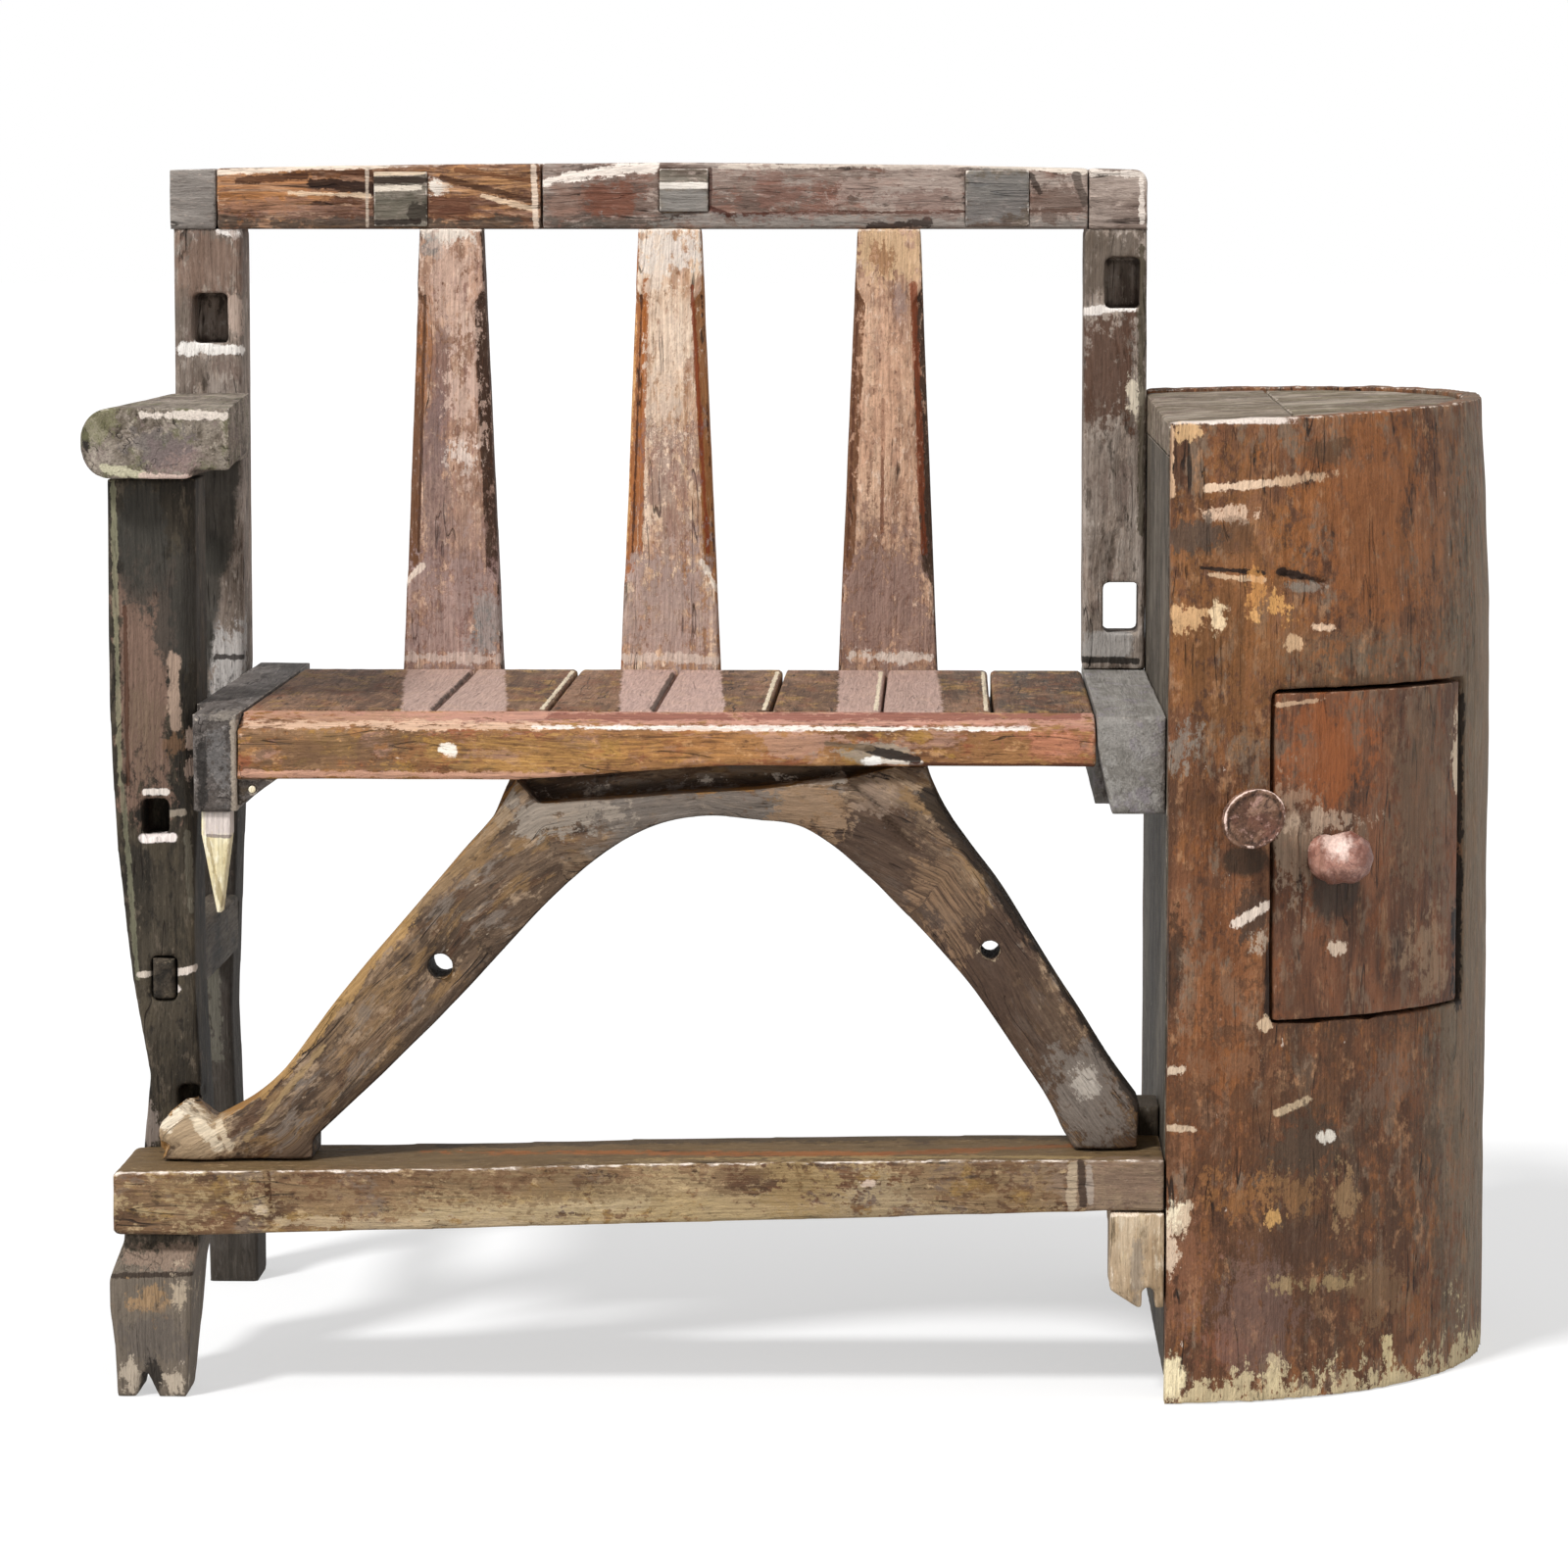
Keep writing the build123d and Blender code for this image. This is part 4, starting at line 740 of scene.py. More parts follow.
crestPatches = dict(
    crestRight, name="let-in patches", voxelMm=1.0, roundMm=0.6, unevenMm=0.3, base="#837a6d",
    light="#978c7e", dark="#675d51", shift=12, tints=("#8d8579",),
    behind=392,
    marks=[
        stroke(382, 177, 436, 176, 3.5, "#e8d0b4", 0.9, 0.9),
        stroke(382, 184, 438, 183, 5, "#33241b", 0.9, 1),
        stroke(384, 192, 432, 191, 4, "#f2e4d2", 0.9, 1.1),
        patch(380, 197, 440, 224, "#676154", 0.8, 1.3),
        patch(420, 205, 440, 226, "#2f271f", 0.8, 1.3),
        stroke(384, 226, 432, 225, 4, "#261b14", 0.9, 1.1),
        stroke(676, 189, 724, 189, 4.5, "#f8efe4", 0.95, 0.5),
        patch(676, 194, 726, 216, "#8b8782", box=True),
        patch(985, 176, 1050, 222, "#83817f", 0.6, 1, box=True),
    ],
)
# Slats are thinner and paler. Their chamfers that look left take a colour of their own,
# and the faces that look right, away from the sun, are painted darker as painted shade.
slat = dict(
    silveredPine, name="slat, weathered pale", base="#caa28b", light="#dfbca6", dark="#94705a",
    aged="#8f6a54", stain="#6b4632", flake="#f0d2bb", edge="#fdeee0", slot="slat_wood", roughness=0.8,
    turnedAxis=(-1, 0, 0), turnedRange=(0.3, 0.6), turnedColour="#6d4529", shadedSideColour="#3a2518",
    voxelMm=1.6, unevenMm=0.8, flakeLongMm=9, flakeMm=5, tints=("#a88378", "#dcb69c", "#94705c"),
    tintLongMm=26, tintMm=12, snug=[(0, 0, 1), (0, 0, -1)], behind=390,
)
slatLeft = dict(
    slat,
    marks=[
        patch(432, 226, 486, 248, "#efe2d4", 0.9, 1.7),
        patch(434, 240, 452, 262, "#8e8c88", 0.7, 1.6),
        patch(440, 256, 488, 345, "#dcbcaa", 0.55, 2.8),
        patch(430, 300, 448, 430, "#a5693a", 0.65, 1.8, grainy=True),
        patch(440, 330, 465, 470, "#8a6d66", 0.6, 1.8),
        patch(432, 405, 462, 600, "#86706c", 0.65, 1.6),
        patch(466, 350, 492, 470, "#e6c6b4", 0.7, 3.4),
        patch(462, 450, 490, 476, "#f4e2d6", 0.7, 2.8),
        patch(440, 540, 510, 600, "#8d6d66", 0.5, 3),
        patch(455, 485, 500, 600, "#a98a7b", 0.5, 2.2),
        patch(415, 575, 512, 676, "#856863", 0.7, 1.8, box=True),
        patch(478, 606, 512, 662, "#8f9290", 0.75, 1.5),
        patch(420, 580, 506, 666, "#cbb0a6", 0.4, 3.8),
        stroke(418, 668, 510, 670, 6, "#d9c3b6", 0.8, 2.4),
        stroke(417, 590, 432, 575, 4, "#f2ddcb", 0.8, 1.4),
        stroke(424, 300, 416, 572, 3.5, "#2c1a12", 0.85, 1.3),
        stroke(437, 300, 429, 560, 2, "#4a2c1a", 0.8, 1.3),
    ],
)
slatMiddle = dict(
    slat, name="slat, palest", base="#f1d1b4", light="#fde6cf", dark="#b58a69", aged="#ad8160",
    stain="#8b5c38", flake="#ffe9d0", turnedColour="#a5612a", shadedSideColour="#a36a38", shift=3,
    tints=("#cfa98f", "#f6dcc0", "#c09a84"),
    marks=[
        patch(656, 228, 718, 282, "#f4eae0", 0.75, 2),
        stroke(662, 285, 655, 560, 4, "#a8612a", 0.85, 1.5),
        stroke(708, 290, 724, 560, 3.5, "#8e3f1e", 0.85, 1.3),
        patch(662, 420, 708, 640, "#8b6c66", 0.6, 3.2),
        patch(668, 290, 700, 420, "#fbe3cb", 0.6, 3),
        patch(640, 575, 732, 676, "#957a73", 0.7, 1.9, box=True),
        patch(644, 575, 730, 668, "#d8c0b4", 0.4, 3.8),
        stroke(640, 668, 732, 670, 6, "#e0ccbd", 0.8, 2.4),
        stroke(718, 570, 734, 600, 4, "#fff1e0", 0.8, 1.4),
        stroke(651, 320, 640, 565, 3, "#eab274", 0.85, 1.4),
        stroke(657, 300, 647, 560, 2, "#4e2812", 0.9, 1.2),
        stroke(718, 300, 730, 560, 2, "#43200f", 0.9, 1.2),
    ],
)
slatRight = dict(
    slat, name="slat, right", base="#d2a98c", light="#e8c2a4", shift=6,
    tints=("#be967f", "#e2ba9b", "#a88069"),
    marks=[
        patch(878, 232, 938, 282, "#e3bf95", 0.75, 1.8),
        patch(892, 250, 912, 276, "#8f5f3a", 0.7, 2),
        stroke(902, 405, 901, 540, 3, "#7d4f38", 0.85, 1.1),
        stroke(932, 290, 944, 560, 5, "#8c4728", 0.85, 1.3),
        patch(912, 285, 926, 330, "#98827c", 0.6, 1.6),
        stroke(876, 300, 866, 565, 3, "#5a3420", 0.85, 1.3),
        patch(884, 330, 926, 470, "#dcae90", 0.5, 3),
        patch(872, 540, 940, 640, "#6f5348", 0.5, 3.2),
        patch(858, 570, 954, 676, "#7c6058", 0.75, 1.8, box=True),
        patch(862, 575, 950, 666, "#b89a8c", 0.4, 3.8),
        stroke(870, 665, 946, 668, 7, "#e6d6c8", 0.85, 2.4),
    ],
)
greyPost = dict(
    silveredPine, name="post, silvered", snug=[(0, 0, 1), (0, 0, -1)],
    behind=395,
    marks=[
        patch(224, 228, 258, 242, "#fdf5ee", 0.95, 1.6),
        patch(180, 238, 256, 300, "#83695a", 0.7, 1.4, box=True),
        patch(176, 296, 198, 345, "#776a5f", 0.6, 1.4),
        patch(237, 298, 252, 340, "#c1ab9c", 0.8, 1.6),
        # painted highlight on the sill of the mortise
        stroke(190, 352, 252, 356, 7, "#fcf6ef", 0.95, 1.2),
        patch(184, 350, 206, 362, "#fcf6ef", 0.9, 1.6),
        stroke(200, 407, 254, 403, 5, "#e8dfd5", 0.9, 1.1),
        patch(214, 640, 256, 730, "#c4bfbb", 0.7, 1.3, box=True),
        stroke(222, 668, 247, 669, 4, "#2a2320", 0.9, 1.2),
        # painted shadow of the arm and leg down the post, then painted shade over the lower post below the
        # seat
        stroke(225, 470, 215, 560, 34, "#38352f", 0.9, 0.4),
        stroke(212, 560, 200, 640, 28, "#38352f", 0.9, 0.4),
        stroke(202, 640, 196, 740, 22, "#38352f", 0.9, 0.4),
        handMark("#29251f", 0.88, 0.7, at=(-437, 206, 150), size=(50, 60, 262), box=True),
        stroke(214, 950, 217, 1080, 9, "#6b675b", 0.7, 1.8),
    ],
)
shortPost = dict(
    silveredPine, name="short post, silvered", base="#a89a8e", light="#beb1a6", shift=5, snug=[(0, 0, 1)],
    behind=395,
    marks=[
        patch(1098, 232, 1168, 300, "#63564a", 0.8, 1.2, box=True),
        patch(1100, 320, 1152, 432, "#573b2c", 0.9, 1.2, box=True),
        # painted highlight on the sill of the mortise
        stroke(1104, 316, 1154, 309, 7, "#fbf2ea", 0.95, 1.1),
        patch(1150, 385, 1168, 420, "#ecdfc8", 0.8, 1.8),
        # painted shade down the right edge, beside the log
        stroke(1163, 250, 1164, 540, 5, "#4c4433", 0.8, 1.4),
        patch(1105, 432, 1130, 560, "#7c6c60", 0.5, 1.8),
        patch(1104, 640, 1154, 666, "#b3aea9", box=True),
        stroke(1100, 669, 1160, 670, 5, "#1d1915", 0.9, 0.9),
    ],
)
dress("crest_left_block", crestBlockLeft, 21)
dress("crest_rail_left", crestLeft, 22)
dress("crest_rail_right", crestRight, 23)
dress("crest_right_block", crestBlockRight, 24)
dress("crest_patches", crestPatches, 25)
dress("back_slat_left", slatLeft, 26)
dress("back_slat_middle", slatMiddle, 27)
dress("back_slat_right", slatRight, 28)
dress("back_post_left", greyPost, 29)
dress("back_post_right", shortPost, 30)
print("back dressed")

# Left end: leg, arm rest and stretcher
# The leg's dark base colours are painted shade, the shade of the arm and seat over it
shadedLeg = dict(
    rubbedOak, name="oak leg, darkened by smoke", base="#352e24", light="#484034", dark="#241f18",
    aged="#231d16", stain="#191410", flake="#62574a", edge="#a3937b", grain="z", slot="leg_wood",
    roughness=0.78, unevenMm=1.0, rubbed=0.6, tints=("#4d4436", "#2b261e"),
    behind=100, deep=30,
    marks=[
        # a box in the leg's colour where the light falls, then two dark patches, the painted shadow of the
        # arm over its top
        patch(124, 590, 176, 806, "#84695a", 0.85, 0.9, box=True),
        patch(160, 560, 215, 690, "#3a3630", 0.85, 0.8),
        patch(124, 480, 172, 625, "#3a3731", 0.85, 0.8),
        patch(130, 700, 170, 790, "#6f5d4a", 0.6, 1.8, grainy=True),
        stroke(180, 672, 181, 740, 9, "#b09683", 0.85, 1),
        patch(166, 745, 190, 775, "#7a5b42", 0.7, 1.6),
        stroke(120, 480, 124, 800, 3.5, "#8f8b70", 0.65, 1.5),
        stroke(126, 800, 140, 1000, 3, "#7f7d66", 0.6, 1.5),
        stroke(131, 620, 132, 800, 3, "#4a2c1c", 0.8, 1.2),
        patch(192, 745, 201, 765, "#d1b6a4", 0.85, 1.4),
        patch(190, 770, 200, 795, "#b39a8a", 0.8, 1.6),
        # the near-white short strokes here paint highlights on the upward faces of the mortises
        stroke(150, 808, 171, 808, 4.5, "#f0e4da", 0.95, 0.8),
        stroke(174, 830, 188, 829, 4.5, "#9d9080", 0.85, 1),
        stroke(147, 856, 177, 855, 6, "#fbeee8", 0.97, 0.5),
        stroke(192, 850, 195, 930, 4, "#6e685a", 0.7, 1.4),
        # painted highlights on the upward faces of the lower mortises
        stroke(142, 996, 155, 995, 4, "#cfc2b4", 0.9, 0.9),
        stroke(180, 994, 197, 990, 4.5, "#e6d8cc", 0.92, 0.8),
        stroke(159, 1012, 179, 1011, 6, "#eee2da", 0.95, 0.8),
        patch(135, 1130, 160, 1172, "#94867c", 0.7, 1.5),
        patch(100, 1272, 250, 1440, "#766a5d", 0.85, 0.5, behind=20, deep=170, box=True),
        patch(118, 1276, 205, 1304, "#917a69", 0.7, 1.5, behind=0),
        stroke(112, 1308, 204, 1306, 4, "#34281f", 0.9, 1.2, behind=0),
        patch(125, 1315, 172, 1352, "#a98760", 0.7, 2, behind=0),
        patch(172, 1308, 192, 1350, "#c8b59c", 0.6, 2.2, behind=0),
        patch(120, 1340, 190, 1400, "#5c544e", 0.6, 1.8, behind=0),
        patch(142, 1396, 164, 1428, "#1b1612", 0.85, 0.9, behind=0),
        patch(118, 1400, 142, 1428, "#c6b6a2", 0.75, 1.9, behind=0),
        patch(162, 1404, 184, 1430, "#c6b6a2", 0.75, 1.9, behind=0),
    ],
)
armRest = dict(
    silveredPine, name="arm rest, silvered", base="#85796c", light="#a29789", dark="#5b5044",
    aged="#544a3c", stain="#393025", flake="#b3a797", edge="#eadfd2", grain="y", slot="grey_wood",
    unevenMm=1.3, fineLongMm=6, fineMm=2.5, flakeLongMm=12, flakeMm=9,
    tints=("#87766f", "#6f6c50", "#a5988c"), tintLongMm=24, tintMm=16,
    behind=75, deep=20,
    marks=[
        stroke(150, 424, 236, 425, 5, "#eadccf", 0.9, 1.4),
        patch(160, 452, 200, 484, "#927b76", 0.7, 1.8),
        patch(138, 436, 190, 470, "#615a5a", 0.55, 2),
        stroke(112, 478, 150, 486, 6, "#cdc6a8", 0.85, 1.4),
        stroke(150, 487, 196, 489, 5, "#e8cdbf", 0.85, 1.2),
        stroke(90, 440, 92, 456, 6, "#1d150f", 0.95, 1.3),
        patch(82, 410, 120, 450, "#7f7d58", 0.5, 1.8, deep=40),
    ],
)
stretcher = dict(
    shadedLeg, name="stretcher, darkened by smoke", base="#5d5245", light="#72675a", shift=3, marks=[],
    grain="y",
)
dress("front_leg_left", shadedLeg, 41)
dress("side_stretcher", stretcher, 42)
dress("arm_rest", armRest, 43)
print("left end dressed")

# Bottom rail, stub and crook
bottomRail = dict(
    rubbedOak, name="oak bottom rail, trodden", base="#785a3f", light="#957757", dark="#4f3724",
    aged="#503a28", stain="#3a281a", flake="#bba07a", edge="#fff0e2", unevenMm=1.2, wearMm=2.2,
    flakeLongMm=12, flakeMm=8, turnedAxis=(0, 0, 1), turnedRange=(0.6, 0.9), turnedColour="#6d5738",
    tints=("#9a7a46", "#63402a", "#7c6b5c"),
    marks=[
        stroke(271, 1202, 274, 1238, 5, "#45280f", 0.95, 0.9),
        patch(258, 1233, 272, 1244, "#d6c0a6", 0.85, 1.4),
        patch(125, 1208, 250, 1235, "#8f744b", 0.5, 1.8, grainy=True),
        stroke(430, 1244, 660, 1232, 9, "#bda98c", 0.75, 2.8),
        patch(430, 1235, 700, 1262, "#96805f", 0.55, 2.8),
        patch(620, 1225, 800, 1250, "#97815c", 0.5, 3),
        patch(850, 1205, 940, 1245, "#786a60", 0.6, 2.4),
        patch(280, 1200, 1080, 1264, "#b59e76", 0.55, 3.3),
        patch(290, 1195, 420, 1240, "#6d4a30", 0.5, 3),
        patch(440, 1190, 620, 1225, "#5f4028", 0.5, 3),
        patch(780, 1190, 860, 1230, "#8f7346", 0.5, 3),
        patch(950, 1190, 1080, 1235, "#6a4b31", 0.5, 3),
        stroke(280, 1252, 640, 1256, 7, "#b59f80", 0.7, 2.8),
        patch(880, 1202, 895, 1212, "#dcc3b0", 0.8, 1.6),
        patch(730, 1190, 780, 1220, "#5b3d28", 0.6, 1.8),
        patch(1085, 1180, 1200, 1236, "#816b5a", 0.75, 1, box=True),
        stroke(1104, 1186, 1107, 1228, 5, "#3b2a20", 0.9, 1),
        stroke(1095, 1188, 1094, 1232, 6, "#b7a389", 0.75, 1.2),
        stroke(1112, 1190, 1114, 1226, 4, "#a8998c", 0.7, 1.2),
        handMark("#9c5d2c", 0.75, 1.6, line=((-250, -150, 167), (60, -190, 167)), width=18, depthWeight=1.0),
        handMark("#8b5228", 0.7, 1.6, line=((60, -190, 167), (190, -160, 167)), width=14, depthWeight=1.0),
        handMark("#a38a5c", 0.7, 1.8, line=((-250, -190, 167), (200, -203, 167)), width=10, depthWeight=1.0),
        # painted shadow along the back of the top face, behind the crook
        handMark("#3d3021", 0.7, 1.4, line=((-230, -125, 167), (200, -120, 167)), width=30, depthWeight=1.0),
    ],
)
# The sawn-off stub is pale, and a box of painted shade darkens its upper part
legStub = dict(
    rubbedOak, name="leg stub, sawn", base="#bda384", light="#cdb89c", dark="#9d8365", aged="#8f7759",
    flake="#d8c7ae", stain="#7d6a50", edge="#f8ead8", grain="z", slot="pale_wood",
    tints=("#cbb592", "#a98f6f"),
    marks=[
        # painted shade over the stub between the crook's foot and the log
        handMark("#262019", 0.92, 0.3, at=(225, -60, 190), size=(40, 140, 42), box=True),
        patch(1155, 1262, 1168, 1320, "#8b7f72", 0.6, 1.2),
        stroke(1133, 1238, 1160, 1237, 4, "#f1dcc4", 0.85, 1),
    ],
)
archBrace = dict(
    rubbedOak, name="crook, left round", base="#735d4a", light="#90775d", dark="#4c3a2c", aged="#453527",
    stain="#2b2018", flake="#a98f74", edge="#e2cdb2", grain="arch", slot="arch_wood", unevenMm=1.6,
    roundMm=14, outline=0.12, voxelMm=2.4, bendMm=14, splits=1.0, flakeLongMm=24, flakeMm=11,
    # painted light and shade: faces turned up to the left take a pale ochre, faces turned down to the right
    # a near black
    turnedAxis=(-0.7, 0, 0.7), turnedRange=(0.35, 0.75), turnedColour="#a0743d", shadedSideColour="#2a1e15",
    tints=("#8a6b46", "#5a3f2c", "#82756a"), tintLongMm=50, tintMm=16,
    behind=30, deep=30,
    marks=[
        stroke(880, 850, 1000, 980, 70, "#49362a", 0.78, 1.3),
        stroke(1000, 980, 1120, 1130, 60, "#49362a", 0.78, 1.3),
        patch(640, 800, 880, 850, "#5f4f44", 0.5, 2),
        patch(300, 900, 420, 1100, "#8f7356", 0.5, 1.8, grainy=True),
        patch(480, 800, 860, 852, "#78716a", 0.55, 1.6),
        patch(520, 812, 620, 850, "#a89a8a", 0.5, 2.2),
        stroke(560, 806, 700, 797, 5, "#d9cbbb", 0.85, 1.6, behind=34),
        stroke(700, 797, 860, 793, 6, "#d9cbbb", 0.85, 1.6, behind=34),
        patch(800, 798, 870, 850, "#a07d5a", 0.55, 2),
        patch(870, 795, 920, 830, "#8d7765", 0.7, 1.4),
        patch(940, 860, 1000, 960, "#9c7c5e", 0.5, 2, grainy=True),
        patch(1070, 1060, 1160, 1170, "#7d736a", 0.75, 1.5),
        patch(1095, 1090, 1120, 1120, "#c1b7ab", 0.6, 2),
        patch(155, 1126, 236, 1192, "#b39a7b", 0.9, 0.9, deep=40),
        stroke(170, 1150, 192, 1132, 10, "#efe0c8", 0.85, 1.5, behind=32),
        stroke(195, 1140, 222, 1172, 8, "#e6d5ba", 0.8, 1.6, behind=32),
        stroke(222, 1150, 232, 1172, 6, "#ddc9ac", 0.8, 1.6, behind=32),
        # painted shade in the notch at the left foot
        patch(200, 1126, 220, 1144, "#201812", 0.9, 0.9, behind=32, deep=40),
        stroke(236, 1160, 300, 1090, 4, "#4a3324", 0.7, 1.4),
        stroke(250, 1165, 330, 1070, 4, "#a3875f", 0.7, 1.6),
        # painted light along the upper-left edge of the left limb
        stroke(270, 1110, 420, 930, 12, "#b08a55", 0.7, 1.6, behind=40),
        stroke(420, 930, 520, 830, 10, "#9a7d5a", 0.6, 1.6, behind=40),
        # painted shade along the right edge of the right limb, then along the lower edge of the left limb
        stroke(948, 810, 1066, 962, 12, "#241a12", 0.9, 0.9, behind=40),
        stroke(1066, 962, 1164, 1124, 12, "#241a12", 0.9, 0.9, behind=40),
        stroke(340, 1140, 560, 930, 10, "#3d2e22", 0.7, 1.2, behind=40),
        patch(438, 978, 462, 998, "#c9b090", 0.6, 1.6, deep=20),
        patch(1000, 962, 1020, 978, "#d9c0a0", 0.6, 1.6, deep=20),
    ],
    cracks=[
        stroke(866, 794, 938, 872, 7, behind=32, depth=7.0),
        stroke(700, 812, 800, 822, 3, behind=40, depth=3.0),
    ],
    bites=[
        bite(210, 1128, 32, (5, 40, 11), 22, slope=0.4),
        bite(172, 1148, 32, (22, 60, 20), 14, way=(-1, 0, 0)),
    ],
)
dress("bottom_rail", bottomRail, 51)
dress("leg_stub_right", legStub, 52)
dress("arch_brace", archBrace, 53)
print("crook dressed")

# Seat: rails, bearers, planks, wedge and the pegged corner brace
seatRail = dict(
    rubbedOak, name="oak seat rail, rubbed by cloth", base="#90643e", light="#aa7a4b", dark="#6c4528",
    aged="#634429", stain="#47291a", flake="#c89869", edge="#f6d9c6", slot="seat_wood", unevenMm=0.9,
    wearMm=2.0, roundMm=1.4, flakeLongMm=14, flakeMm=8, rubbed=0.6, tints=("#a9803f", "#8d4c33", "#a98270"),
    behind=22, deep=20,
    marks=[
        patch(232, 742, 430, 784, "#6f5640", 0.65, 2.4, box=True),
        patch(430, 744, 640, 762, "#6d4c30", 0.5, 3),
        handMark("#d9a28f", 0.7, 1.3, at=(-80, -170, 462), size=(320, 19, 8), box=True),
        patch(235, 722, 420, 745, "#a5805e", 0.6, 1.8, behind=30, deep=30),
        # painted highlight along the top front arris
        stroke(250, 738, 560, 741, 5, "#e3bda0", 0.85, 2.2, behind=24),
        stroke(545, 741, 900, 742, 3.2, "#fff4ea", 0.95, 1.3, behind=23),
        stroke(900, 742, 1050, 741, 3.2, "#fff4ea", 0.95, 1.3, behind=23),
        stroke(1050, 740, 1112, 734, 3, "#f6d3c2", 0.9, 1.3, behind=23),
        stroke(560, 733, 1100, 731, 4, "#7a3d30", 0.7, 1.7, behind=30, depthWeight=0.05),
        patch(430, 750, 640, 786, "#b98d4b", 0.5, 2, grainy=True),
        patch(640, 745, 780, 775, "#b88048", 0.5, 1.8, grainy=True),
        patch(780, 748, 870, 770, "#b28a78", 0.6, 1.8),
        patch(1030, 745, 1118, 778, "#a06048", 0.45, 2.6),
        patch(1050, 750, 1100, 768, "#cf8a6c", 0.4, 2.6),
        patch(845, 757, 935, 776, "#9b9080", 0.75, 1.5),
        patch(882, 769, 902, 779, "#fffaf2", 0.97, 0.9),
        stroke(902, 775, 940, 776, 3.5, "#e9ded0", 0.9, 1.1),
        stroke(888, 763, 936, 773, 6, "#1e120b", 0.95, 1),
        stroke(845, 757, 890, 762, 4, "#6e5a44", 0.8, 1.3),
        patch(452, 757, 468, 771, "#fff3e4", 0.95, 1.1),
        stroke(240, 789, 700, 792, 4, "#d3a088", 0.75, 1.8),
        stroke(930, 778, 1115, 779, 3, "#4b2415", 0.75, 1.4),
    ],
)
# painted reflection of the slats on the planks
slatReflection = dict(depthWeight=1.0, soft=0.03)  # the pale oblongs below the slats
seatPlank = dict(
    rubbedOak, name="seat plank", light="#937058", dark="#543a28", aged="#4a3323", stain="#332014",
    flake="#a37f62", edge="#cdb499", grain="y", slot="seat_wood", unevenMm=0.6, roundMm=1.0, wearMm=1.6,
    rubbed=0.4,
    marks=[
        # painted reflections of the three slats
        handMark("#c5a79b", 0.8, 0.12, line=((-258, 174, 462), (-229, -152, 462)), width=72, **slatReflection),
        handMark("#cdada2", 0.8, 0.12, line=((-98, 174, 462), (-81, -152, 462)), width=72, **slatReflection),
        handMark("#c3a498", 0.8, 0.12, line=((62, 174, 462), (67, -152, 462)), width=72, **slatReflection),
        handMark("#3a2a1e", line=((-243, 150, 462), (-243, -140, 462)), width=6, depthWeight=1.0),
        handMark("#3a2a1e", line=((-94, 150, 462), (-94, -140, 462)), width=6, depthWeight=1.0),
    ] + [
        handMark("#ecdcc0", 0.9, 0.9, line=((seam, 160, 462), (seam, -145, 462)), width=3, depthWeight=1.0)
        for seam in (-170, -19, 57, 132, 206)
    ],
)
bearer = dict(
    rubbedOak, name="bearer", tints=("#7d746f", "#4d443e"), base="#68605b", light="#837c78", dark="#47403b",
    aged="#3d3632", stain="#2a231f", flake="#968e88", edge="#c9bcac", grain="y", slot="leg_wood",
    unevenMm=0.8, fineLongMm=5, fineMm=2.5,
    behind=22, deep=20,
    marks=[
        stroke(241, 738, 243, 824, 5, "#b3a493", 0.85, 1.1),
        patch(212, 735, 236, 800, "#74706e", 0.6, 1.8),
        # painted shade on the left chamfer, next to the leg
        patch(203, 745, 214, 826, "#15110d", 0.8, 1.4),
        patch(210, 722, 246, 736, "#93897e", 0.6, 1.6, deep=30),
    ],
)
bearerRight = dict(
    bearer, name="bearer, right", base="#8d8881", light="#9a958f", dark="#76716a", aged="#6f6a63",
    stain="#5b544d", flake="#a39e98", pores=0.25, flaked=0.35, scars=0.2, splits=0.2, shift=7, marks=[],
    tints=("#8a8286", "#9c9892"),
)
# New wood, split and driven in: cream, clean and nearly without wear
paleWedge = dict(
    rubbedOak, name="wedge, new split wood", base="#ecdcae", light="#f5ebcb", dark="#d8c698",
    aged="#dccb9f", stain="#c3ad80", flake="#faf1d8", edge="#fff8e6", grain="z", slot="pale_wood",
    voxelMm=1.0, roundMm=0.7, wearMm=0.8, unevenMm=0.3, splits=0.2, scars=0.1, pores=0.4,
    tints=("#f3e6c4", "#d9c99c"),
    behind=27, deep=30,
    marks=[
        patch(210, 824, 246, 853, "#d9cbc6", 0.9, 0.3, box=True),
        stroke(214, 853, 243, 854, 2.5, "#8b7d78", 0.85, 0.8),
        stroke(214, 856, 228, 925, 3, "#a89468", 0.7, 1.4),
    ],
)
dress("seat_front_rail", seatRail, 61)
dress("seat_back_rail", dict(bearer, name="seat back rail", grain="x", shift=4, marks=[]), 62)
dress("seat_bearer_left", bearer, 63)
dress("seat_bearer_right", bearerRight, 64)
# From the arm rest to the log, where the planks are darker
plankColours = ("#7b5b43", "#75583f", "#7b5b43", "#6f5340", "#75573f", "#5c4837", "#51453a")
for number, plankColour in enumerate(plankColours, 1):
    plank = dict(seatPlank, name=f"seat plank {number}", base=plankColour, shift=number * 1.7)
    dress(f"seat_plank_{number}", plank, 64 + number)
cornerBrace = dict(
    bearer, name="corner brace", base="#4b3d2c", voxelMm=1.2, roundMm=1.0, unevenMm=0.3, marks=[],
)
dress("corner_brace", cornerBrace, 75)
bracePeg = dict(
    paleWedge, name="peg", base="#f0dccb", voxelMm=0.6, roundMm=0.4, unevenMm=0.1, marks=[],
)
dress("corner_brace_peg", bracePeg, 76)
dress("bearer_wedge", paleWedge, 77)
print("seat dressed;", sum(len(o.data.polygons) for o in pieces.values()), "faces")

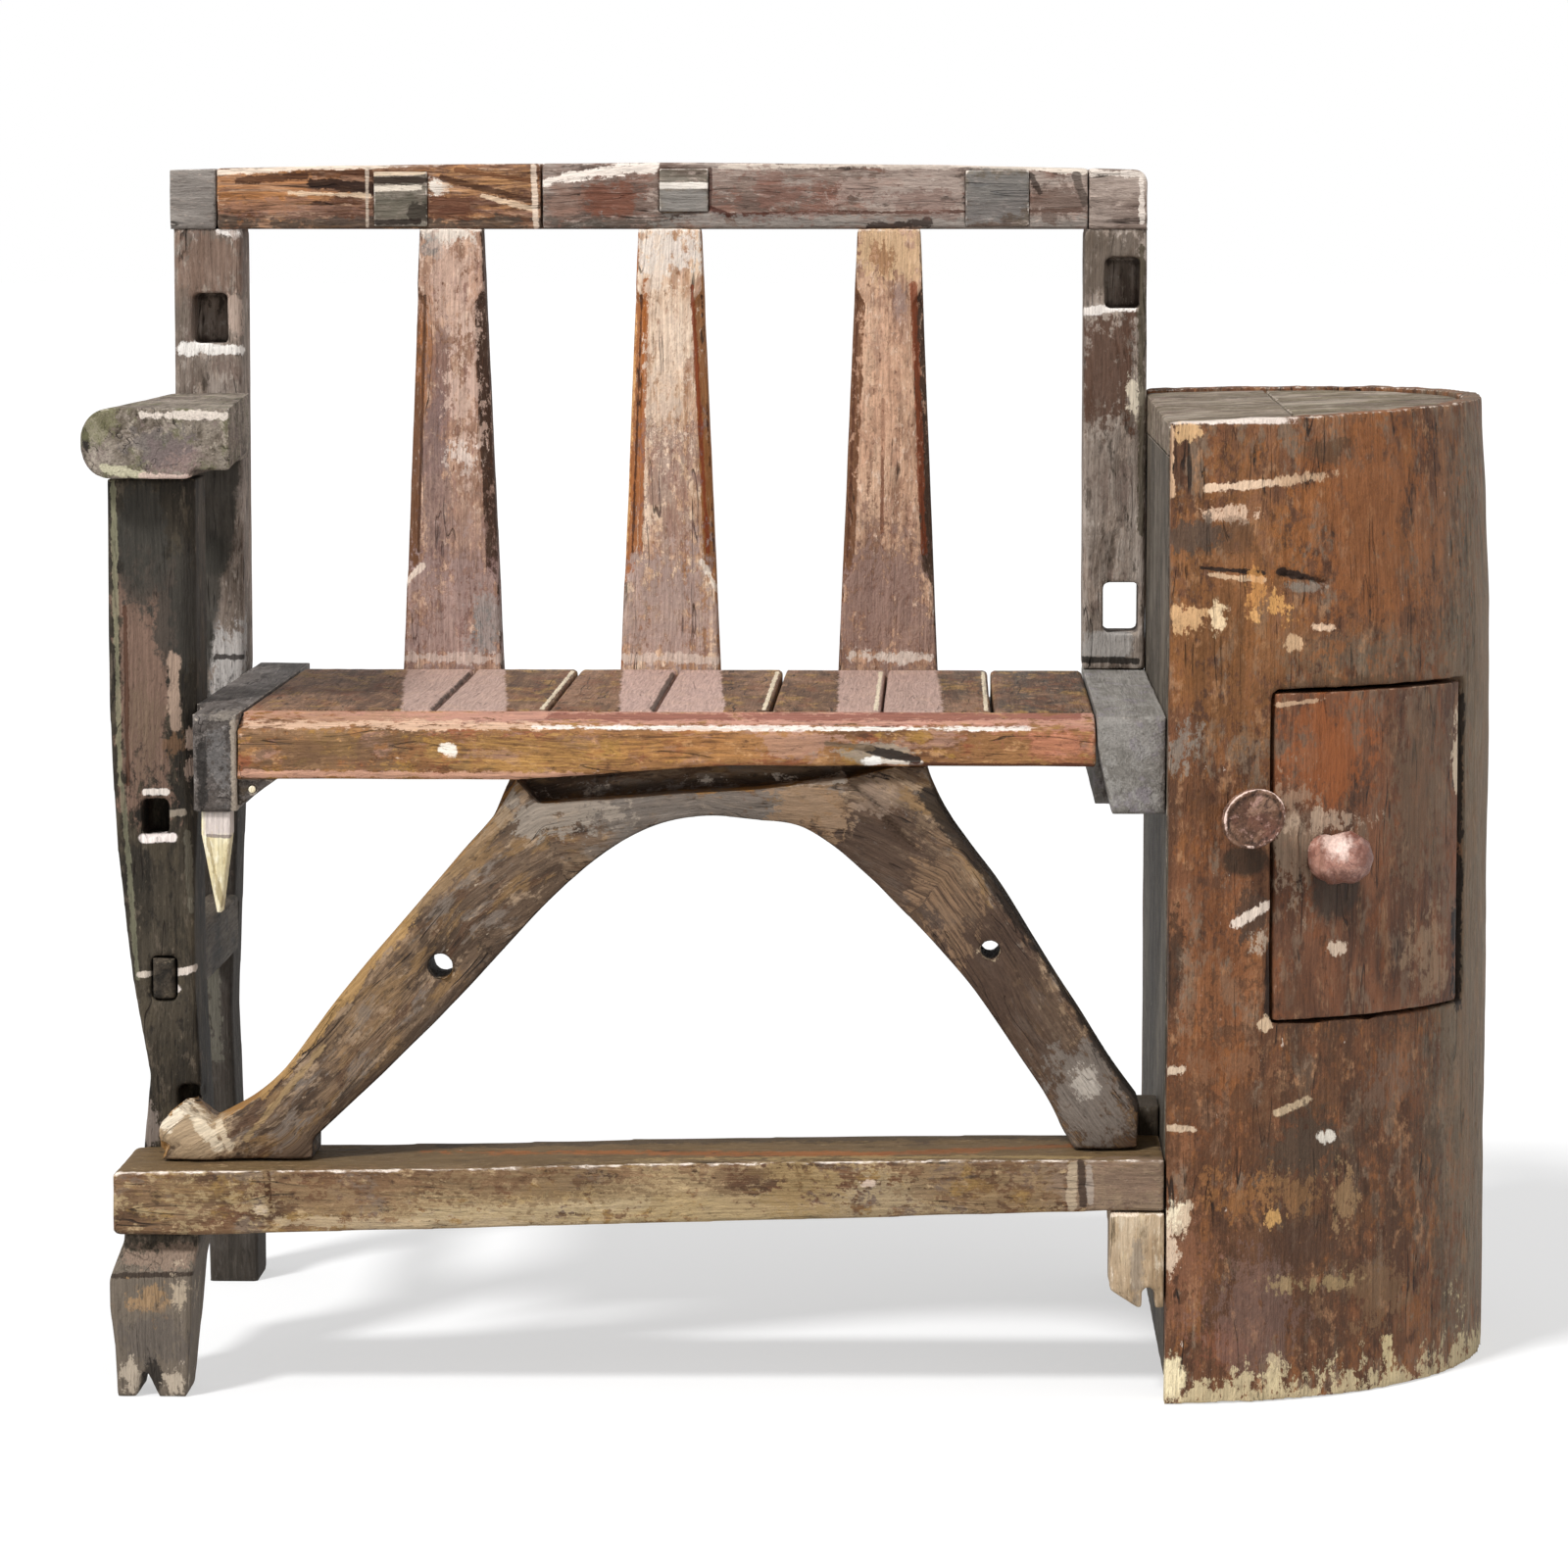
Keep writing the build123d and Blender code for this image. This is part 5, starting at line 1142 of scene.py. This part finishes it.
# Floor, lamps and camera
lamps = dict(
    key=dict(level=0.92, turn=-38, height=50, softness=9),
    fill=dict(level=0.15, turn=40, height=20, softness=60),
)
studio = dict(skyLevel=0.42, floorColour="#d9d9d9", floorGlow=0.55, floorReach=60)


# turn is measured from straight in front, to the right when above zero
def addSun(name, level, turn, height, softness):
    lamp = bpy.data.lights.new(name, "SUN")
    lamp.energy = level * math.pi
    lamp.angle = math.radians(softness)
    holder = bpy.data.objects.new(name, lamp)
    bpy.context.scene.collection.objects.link(holder)
    turned, raised = math.radians(turn), math.radians(height)
    ahead = math.cos(raised)
    towards = Vector((math.sin(turned) * ahead, -math.cos(turned) * ahead, math.sin(raised)))
    holder.rotation_mode = "QUATERNION"
    holder.rotation_quaternion = towards.to_track_quat("Z", "Y")


# Is 1 for what the camera sees, also off or through something shiny, and 0 for plain light
def shownRays(tree):
    kinds = ("Is Camera Ray", "Is Glossy Ray", "Is Transmission Ray")
    looked, mirrored, passed = [addNode(tree, "LightPath", out=kind) for kind in kinds]
    shown = addNode(tree, "Math", looked, mirrored, operation="MAXIMUM")
    return addNode(tree, "Math", shown, passed, operation="MAXIMUM")


for name, lamp in lamps.items():
    addSun(name, **lamp)

# The world is white to the eye and in reflections, and dimmer as a light
world = bpy.data.worlds.new("pale studio")
bpy.context.scene.world = world
world.use_nodes = True
sky = world.node_tree
sky.nodes.clear()
level = addNode(sky, "MapRange", shownRays(sky), 0.0, 1.0, studio["skyLevel"], 1.0)
glow = addNode(sky, "Background", {"Color": (1, 1, 1, 1), "Strength": level})
addNode(sky, "OutputWorld", {"Surface": glow}, out=None)

# Matt white paint: it looks white and keeps the shadow, and bounces less light than it shows
floorMesh = bpy.data.meshes.new("floor")
reach = studio["floorReach"]
corners = [(-reach, -reach, 0), (reach, -reach, 0), (reach, reach, 0), (-reach, reach, 0)]
floorMesh.from_pydata(corners, [], [(0, 1, 2, 3)])
floor = bpy.data.objects.new("floor", floorMesh)
bpy.context.scene.collection.objects.link(floor)
paint = bpy.data.materials.new("matt white floor paint")
paint.use_nodes = True
coat = paint.node_tree
coat.nodes.clear()
shown = shownRays(coat)
lit = addNode(coat, "BsdfDiffuse", (1, 1, 1, 1))
plain = addNode(coat, "Emission", (1, 1, 1, 1), 1.0)
pale = addNode(coat, "MixShader", studio["floorGlow"], lit, plain)
matt = addNode(coat, "BsdfDiffuse", linear(studio["floorColour"]))
surface = addNode(coat, "MixShader", shown, matt, pale)
addNode(coat, "OutputMaterial", {"Surface": surface}, out=None)
floorMesh.materials.append(paint)

# The photograph is taken from in front of the right half of the back, a little above
view = dict(
    at=(0.1018, -3.7233, 0.7941), turnLeft=0.0299, pitchDown=0.0888, shiftUp=-0.06,
    focalPixels=5407.5, photoPixels=1600, sensorMm=36,
)
lens = bpy.data.cameras.new("camera")
lens.sensor_width = view["sensorMm"]
lens.lens = view["focalPixels"] / view["photoPixels"] * view["sensorMm"]
lens.shift_y = view["shiftUp"]
lens.clip_start, lens.clip_end = 0.1, 200
camera = bpy.data.objects.new("camera", lens)
bpy.context.scene.collection.objects.link(camera)
camera.location = view["at"]
camera.rotation_euler = (math.pi / 2 - view["pitchDown"], 0, view["turnLeft"])
bpy.context.scene.camera = camera
bpy.context.scene.view_settings.view_transform = "Standard"
print("stage ready")
